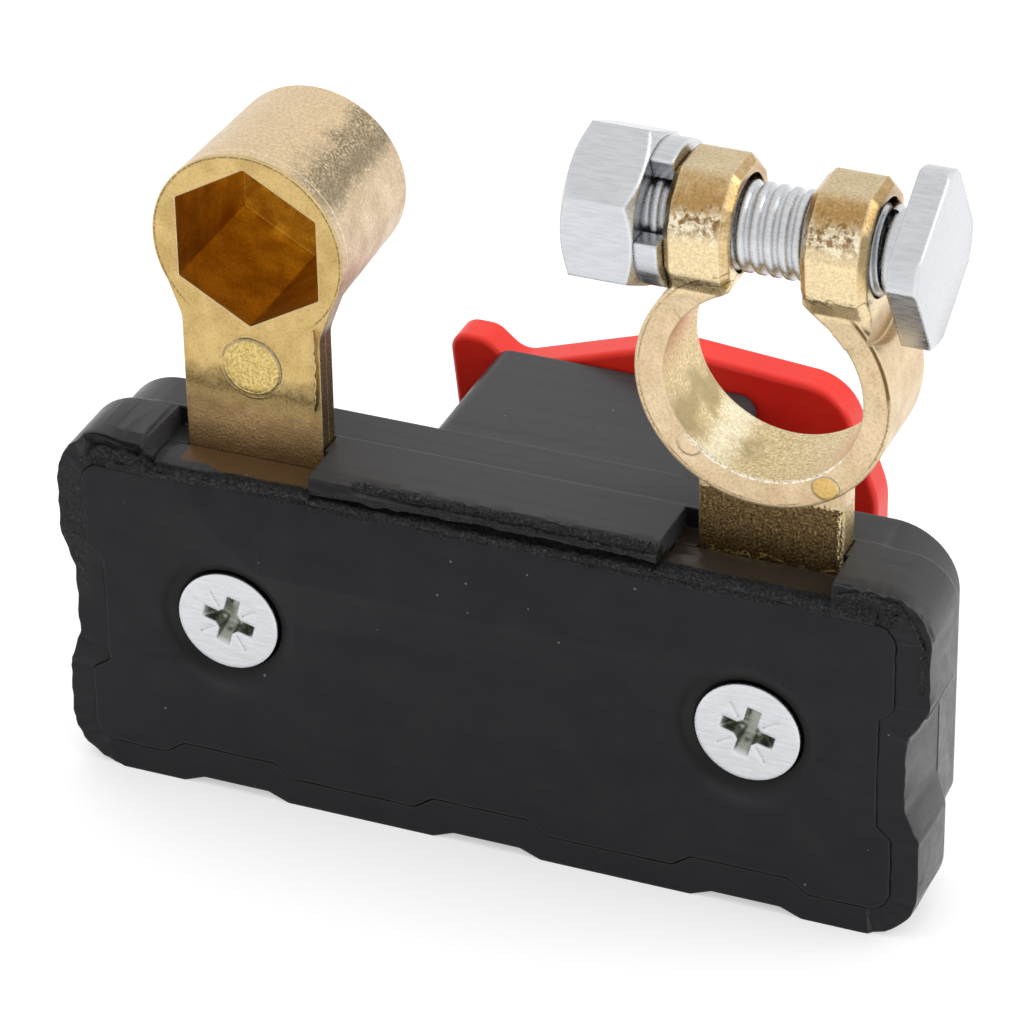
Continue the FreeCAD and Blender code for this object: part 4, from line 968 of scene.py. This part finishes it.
def make_torn_bead(name, slot, material, path, width, height, seed, lean=(0, 0, 1)):
    """A crumbly ridge of flash along a path of (x, depth, z), sunk into what carries it."""
    bm = bmesh.new()
    bmesh.ops.create_cube(bm, size=1.0)
    length = sum((Vector(b) - Vector(a)).length for a, b in zip(path, path[1:]))
    for axis, cuts in ((0, int(length / BEAD_STEP)), (1, 3), (2, 2)):
        lines = [edge for edge in bm.edges if abs((edge.verts[0].co - edge.verts[1].co)[axis]) > 0.9]
        bmesh.ops.subdivide_edges(bm, edges=lines, cuts=cuts, use_grid_fill=True)
    lean = Vector(lean)
    for vert in bm.verts:
        share, across, rise = vert.co.x + 0.5, vert.co.y, vert.co.z + 0.5
        place = along_path(path, share)
        taper = smooth_step(min(share, 1 - share) * length, 0.0, 1.2)
        crest = ragged((share * length, 0, 0), 1.6, seed) * 0.9
        crest += ragged((share * length, 0, 0), 0.5, seed + 3) * 0.5
        arch = 1.0 - 2.4 * across * across
        lift = -BEAD_ROOT + rise * (BEAD_ROOT + height * crest * arch * taper)
        spot = Vector((share * length, across * width, rise)) * 2.6 + Vector((seed, 0, 0))
        vert.co = Vector((place.x, place.y + FACE_Y + width * (across + 0.5), place.z)) + lean * lift
        vert.co += noise.noise_vector(spot) * 0.16 * rise * taper
        vert.co.y = max(vert.co.y, FACE_Y + 0.005)
    bmesh.ops.recalc_face_normals(bm, faces=bm.faces)
    finish_piece(bm, name, "case", slot, material, smooth_angle=45.0)


make_torn_cover()
make_torn_housing()
make_casting_mark()
for name, path, width, height, seed, lean in (
        ("left_cover_crest", [(-32.6, 0.0, 32.3), (-26.0, 0.0, 32.5), (-20.0, 0.0, 33.0),
                              (-16.2, 0.0, 33.15)],
         0.9, 0.55, 1.0, (0, 0, 1)),
        ("middle_cover_crest", [(-16.4, 0.0, 32.8), (0.0, 0.0, 32.65), (16.3, 0.0, 32.7)],
         0.6, 0.36, 2.0, (0, 0, 1)),
        ("right_cover_crest", [(16.0, 0.0, 32.9), (24.0, 0.0, 32.95), (33.0, 0.0, 32.6)],
         0.8, 0.5, 3.0, (0, 0, 1)),
        ("block_brow", [(-13.0, 0.35, 34.85), (0.0, 0.4, 34.8), (15.6, 0.35, 34.75)],
         0.7, 0.5, 4.0, (0, 0, 1)),
        ("block_brow_crumbs", [(-6.0, 0.05, 34.3), (4.0, 0.05, 34.25), (15.4, 0.05, 34.2)],
         0.45, 0.3, 5.0, (0, -0.2, 1)),
        ("left_lip_tear", [(-38.4, 0.05, 32.4), (-36.8, 0.05, 33.2), (-34.4, 0.05, 33.3), (-32.4, 0.05, 32.7),
                           (-30.6, 0.05, 32.1)],
         1.1, 0.6, 6.0, (0, 0, 1)),
        ("right_lip_tear", [(32.5, 0.05, 34.3), (35.5, 0.05, 34.6), (37.9, 0.05, 34.0), (39.5, 0.05, 32.5),
                            (40.2, 0.05, 30.5)],
         0.7, 0.45, 7.0, (0.35, 0, 0.9)),
        ("right_rim_tear", [(40.2, 0.05, 30.8), (40.3, 0.05, 28.5), (40.25, 0.05, 25.8)],
         0.55, 0.35, 8.0, (1, 0, 0))):
    make_torn_bead(name, "case_plastic", torn_plastic, path, width, height, seed, lean)
make_torn_bead("post_casting_flash", "cast_brass", finishes["cast_brass"],
               [(-17.3, 4.35, 39.0), (-17.1, 4.35, 43.0), (-17.2, 4.35, 47.2)], 0.7, 0.6, 9.0, (0.35, -1, 0))
make_torn_bead("clamp_casting_flash", "cast_brass", own_finishes["clamp_terminal"],
               [(31.0, 4.6, 33.4), (30.9, 4.6, 36.0), (31.1, 4.6, 39.2)], 0.7, 0.6, 10.0, (0.35, -1, 0))


# Clamp bolt with its thread

def add_round_bar(bm, start, end, start_radius, end_radius, sides):
    """A round or tapered bar on the bolt's axis, between two places along the case."""
    place = Matrix.Translation(((start + end) / 2, BOLT_Y, BOLT_Z)) @ Matrix.Rotation(math.pi / 2, 4, "Y")
    bmesh.ops.create_cone(bm, cap_ends=True, segments=sides, radius1=start_radius, radius2=end_radius,
                          depth=end - start, matrix=place)


def make_threaded_bolt():
    """The bolt's head with a rolled thread spun on its shank."""
    bm = copy_of("clamp_bolt")
    bmesh.ops.bisect_plane(bm, geom=bm.verts[:] + bm.edges[:] + bm.faces[:], plane_co=(HEAD_X - 0.01, 0, 0),
                           plane_no=(-1, 0, 0), clear_outer=True)
    turns = int((HEAD_X - 1.6 - BOLT_END_X) / THREAD_PITCH)
    start = BOLT_END_X + 0.1
    steps = 40
    shoulder = THREAD_CREST - 0.1
    profile = [(0.0, THREAD_ROOT), (0.08, THREAD_ROOT), (0.27, shoulder), (0.4, THREAD_CREST),
               (0.78, THREAD_CREST), (0.92, shoulder), (1.12, THREAD_ROOT), (THREAD_PITCH, THREAD_ROOT)]
    verts = [bm.verts.new((start + x, BOLT_Y, BOLT_Z + radius)) for x, radius in profile]
    edges = [bm.edges.new(pair) for pair in zip(verts, verts[1:])]
    bmesh.ops.spin(bm, geom=verts + edges, cent=(0, BOLT_Y, BOLT_Z), axis=(1, 0, 0),
                   dvec=(THREAD_PITCH / steps, 0, 0), angle=math.tau * turns, steps=steps * turns)
    add_round_bar(bm, BOLT_END_X, BOLT_END_X + 1.4, THREAD_ROOT - 0.5, THREAD_ROOT + 0.02, 40)
    neck_start = start + THREAD_PITCH * (turns + 0.6)
    add_round_bar(bm, neck_start, HEAD_X, THREAD_ROOT + 0.25, THREAD_ROOT + 0.25, 48)
    bmesh.ops.remove_doubles(bm, verts=bm.verts, dist=WELD)
    bmesh.ops.recalc_face_normals(bm, faces=bm.faces)
    piece = finish_piece(bm, "threaded_bolt", "bolt", "zinc_steel")
    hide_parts("clamp_bolt")


make_threaded_bolt()


# Floor, light and camera

FLOOR_GLOW = 0.46
SENSOR_MM = 36.0
LENS_MM = 181.913
CAMERA_PLACE = Vector((149.50, -364.255, 268.70))
CAMERA_RIGHT = Vector((0.92488, 0.37993, -0.0158))
CAMERA_DOWN = Vector((0.18741, -0.4916, -0.85042))
CAMERA_AHEAD = Vector((-0.33087, 0.78357, -0.52587))


def seen_rays(tree):
    """1 for the rays that show the surroundings: to the camera, in gloss and through glass."""
    path = tree.nodes.new("ShaderNodeLightPath")
    return either(tree, *[path.outputs[f"Is {kind} Ray"] for kind in ("Camera", "Glossy", "Transmission")])


def make_floor():
    """Wide white floor that keeps a soft shadow."""
    bm = bmesh.new()
    bmesh.ops.create_grid(bm, x_segments=1, y_segments=1, size=3.0)
    mesh = bpy.data.meshes.new("floor")
    bm.to_mesh(mesh)
    bm.free()
    floor = bpy.data.objects.new("floor", mesh)
    bpy.context.scene.collection.objects.link(floor)
    material = bpy.data.materials.new("white_floor")
    material.use_nodes = True
    tree = material.node_tree
    shader = tree.nodes["Principled BSDF"]
    shader.inputs["Base Color"].default_value = (0.7, 0.7, 0.705, 1)
    shader.inputs["Roughness"].default_value = 0.9
    shader.inputs["Specular IOR Level"].default_value = 0.0
    shader.inputs["Emission Color"].default_value = (1, 1, 1, 1)
    tree.links.new(both(tree, seen_rays(tree), FLOOR_GLOW), shader.inputs["Emission Strength"])
    mesh.materials.append(material)


def make_world():
    """Plain white surroundings, dimmer for the light that they throw."""
    world = bpy.data.worlds.new("studio")
    bpy.context.scene.world = world
    world.use_nodes = True
    tree = world.node_tree
    background = tree.nodes["Background"]
    where = tree.nodes.new("ShaderNodeTexCoord").outputs["Generated"]
    sky = ramp(tree, split_vector(tree, where)["Z"], 0.0, 0.8, 0.72, 0.92)
    background.inputs["Color"].default_value = (1, 1, 1, 1)
    tree.links.new(either(tree, seen_rays(tree), sky), background.inputs["Strength"])


def add_softbox(name, place, target, width, height, power, in_gloss=True):
    """A soft lamp that faces a point, in millimetres."""
    lamp = bpy.data.lights.new(name, "AREA")
    lamp.shape = "RECTANGLE"
    lamp.size = width * MM
    lamp.size_y = height * MM
    lamp.energy = power
    holder = bpy.data.objects.new(name, lamp)
    bpy.context.scene.collection.objects.link(holder)
    holder.location = Vector(place) * MM
    holder.visible_glossy = in_gloss
    holder.rotation_euler = (Vector(target) - Vector(place)).to_track_quat("-Z", "Y").to_euler()


def make_camera():
    """The photograph's camera."""
    data = bpy.data.cameras.new("camera")
    data.sensor_width = SENSOR_MM
    data.lens = LENS_MM
    data.clip_start = 0.01
    data.clip_end = 20.0
    camera = bpy.data.objects.new("camera", data)
    bpy.context.scene.collection.objects.link(camera)
    turn = Matrix((CAMERA_RIGHT, -CAMERA_DOWN, -CAMERA_AHEAD)).transposed()
    camera.matrix_world = Matrix.Translation(CAMERA_PLACE * MM) @ turn.to_4x4()
    bpy.context.scene.camera = camera


make_floor()
make_world()
add_softbox("top_softbox", (-120, 190, 600), (0, 0, 30), 450, 450, 0.75, False)
add_softbox("right_softbox", (480, 150, 330), (10, 0, 40), 300, 300, 0.7)
make_camera()
bpy.context.scene.view_settings.view_transform = "Standard"
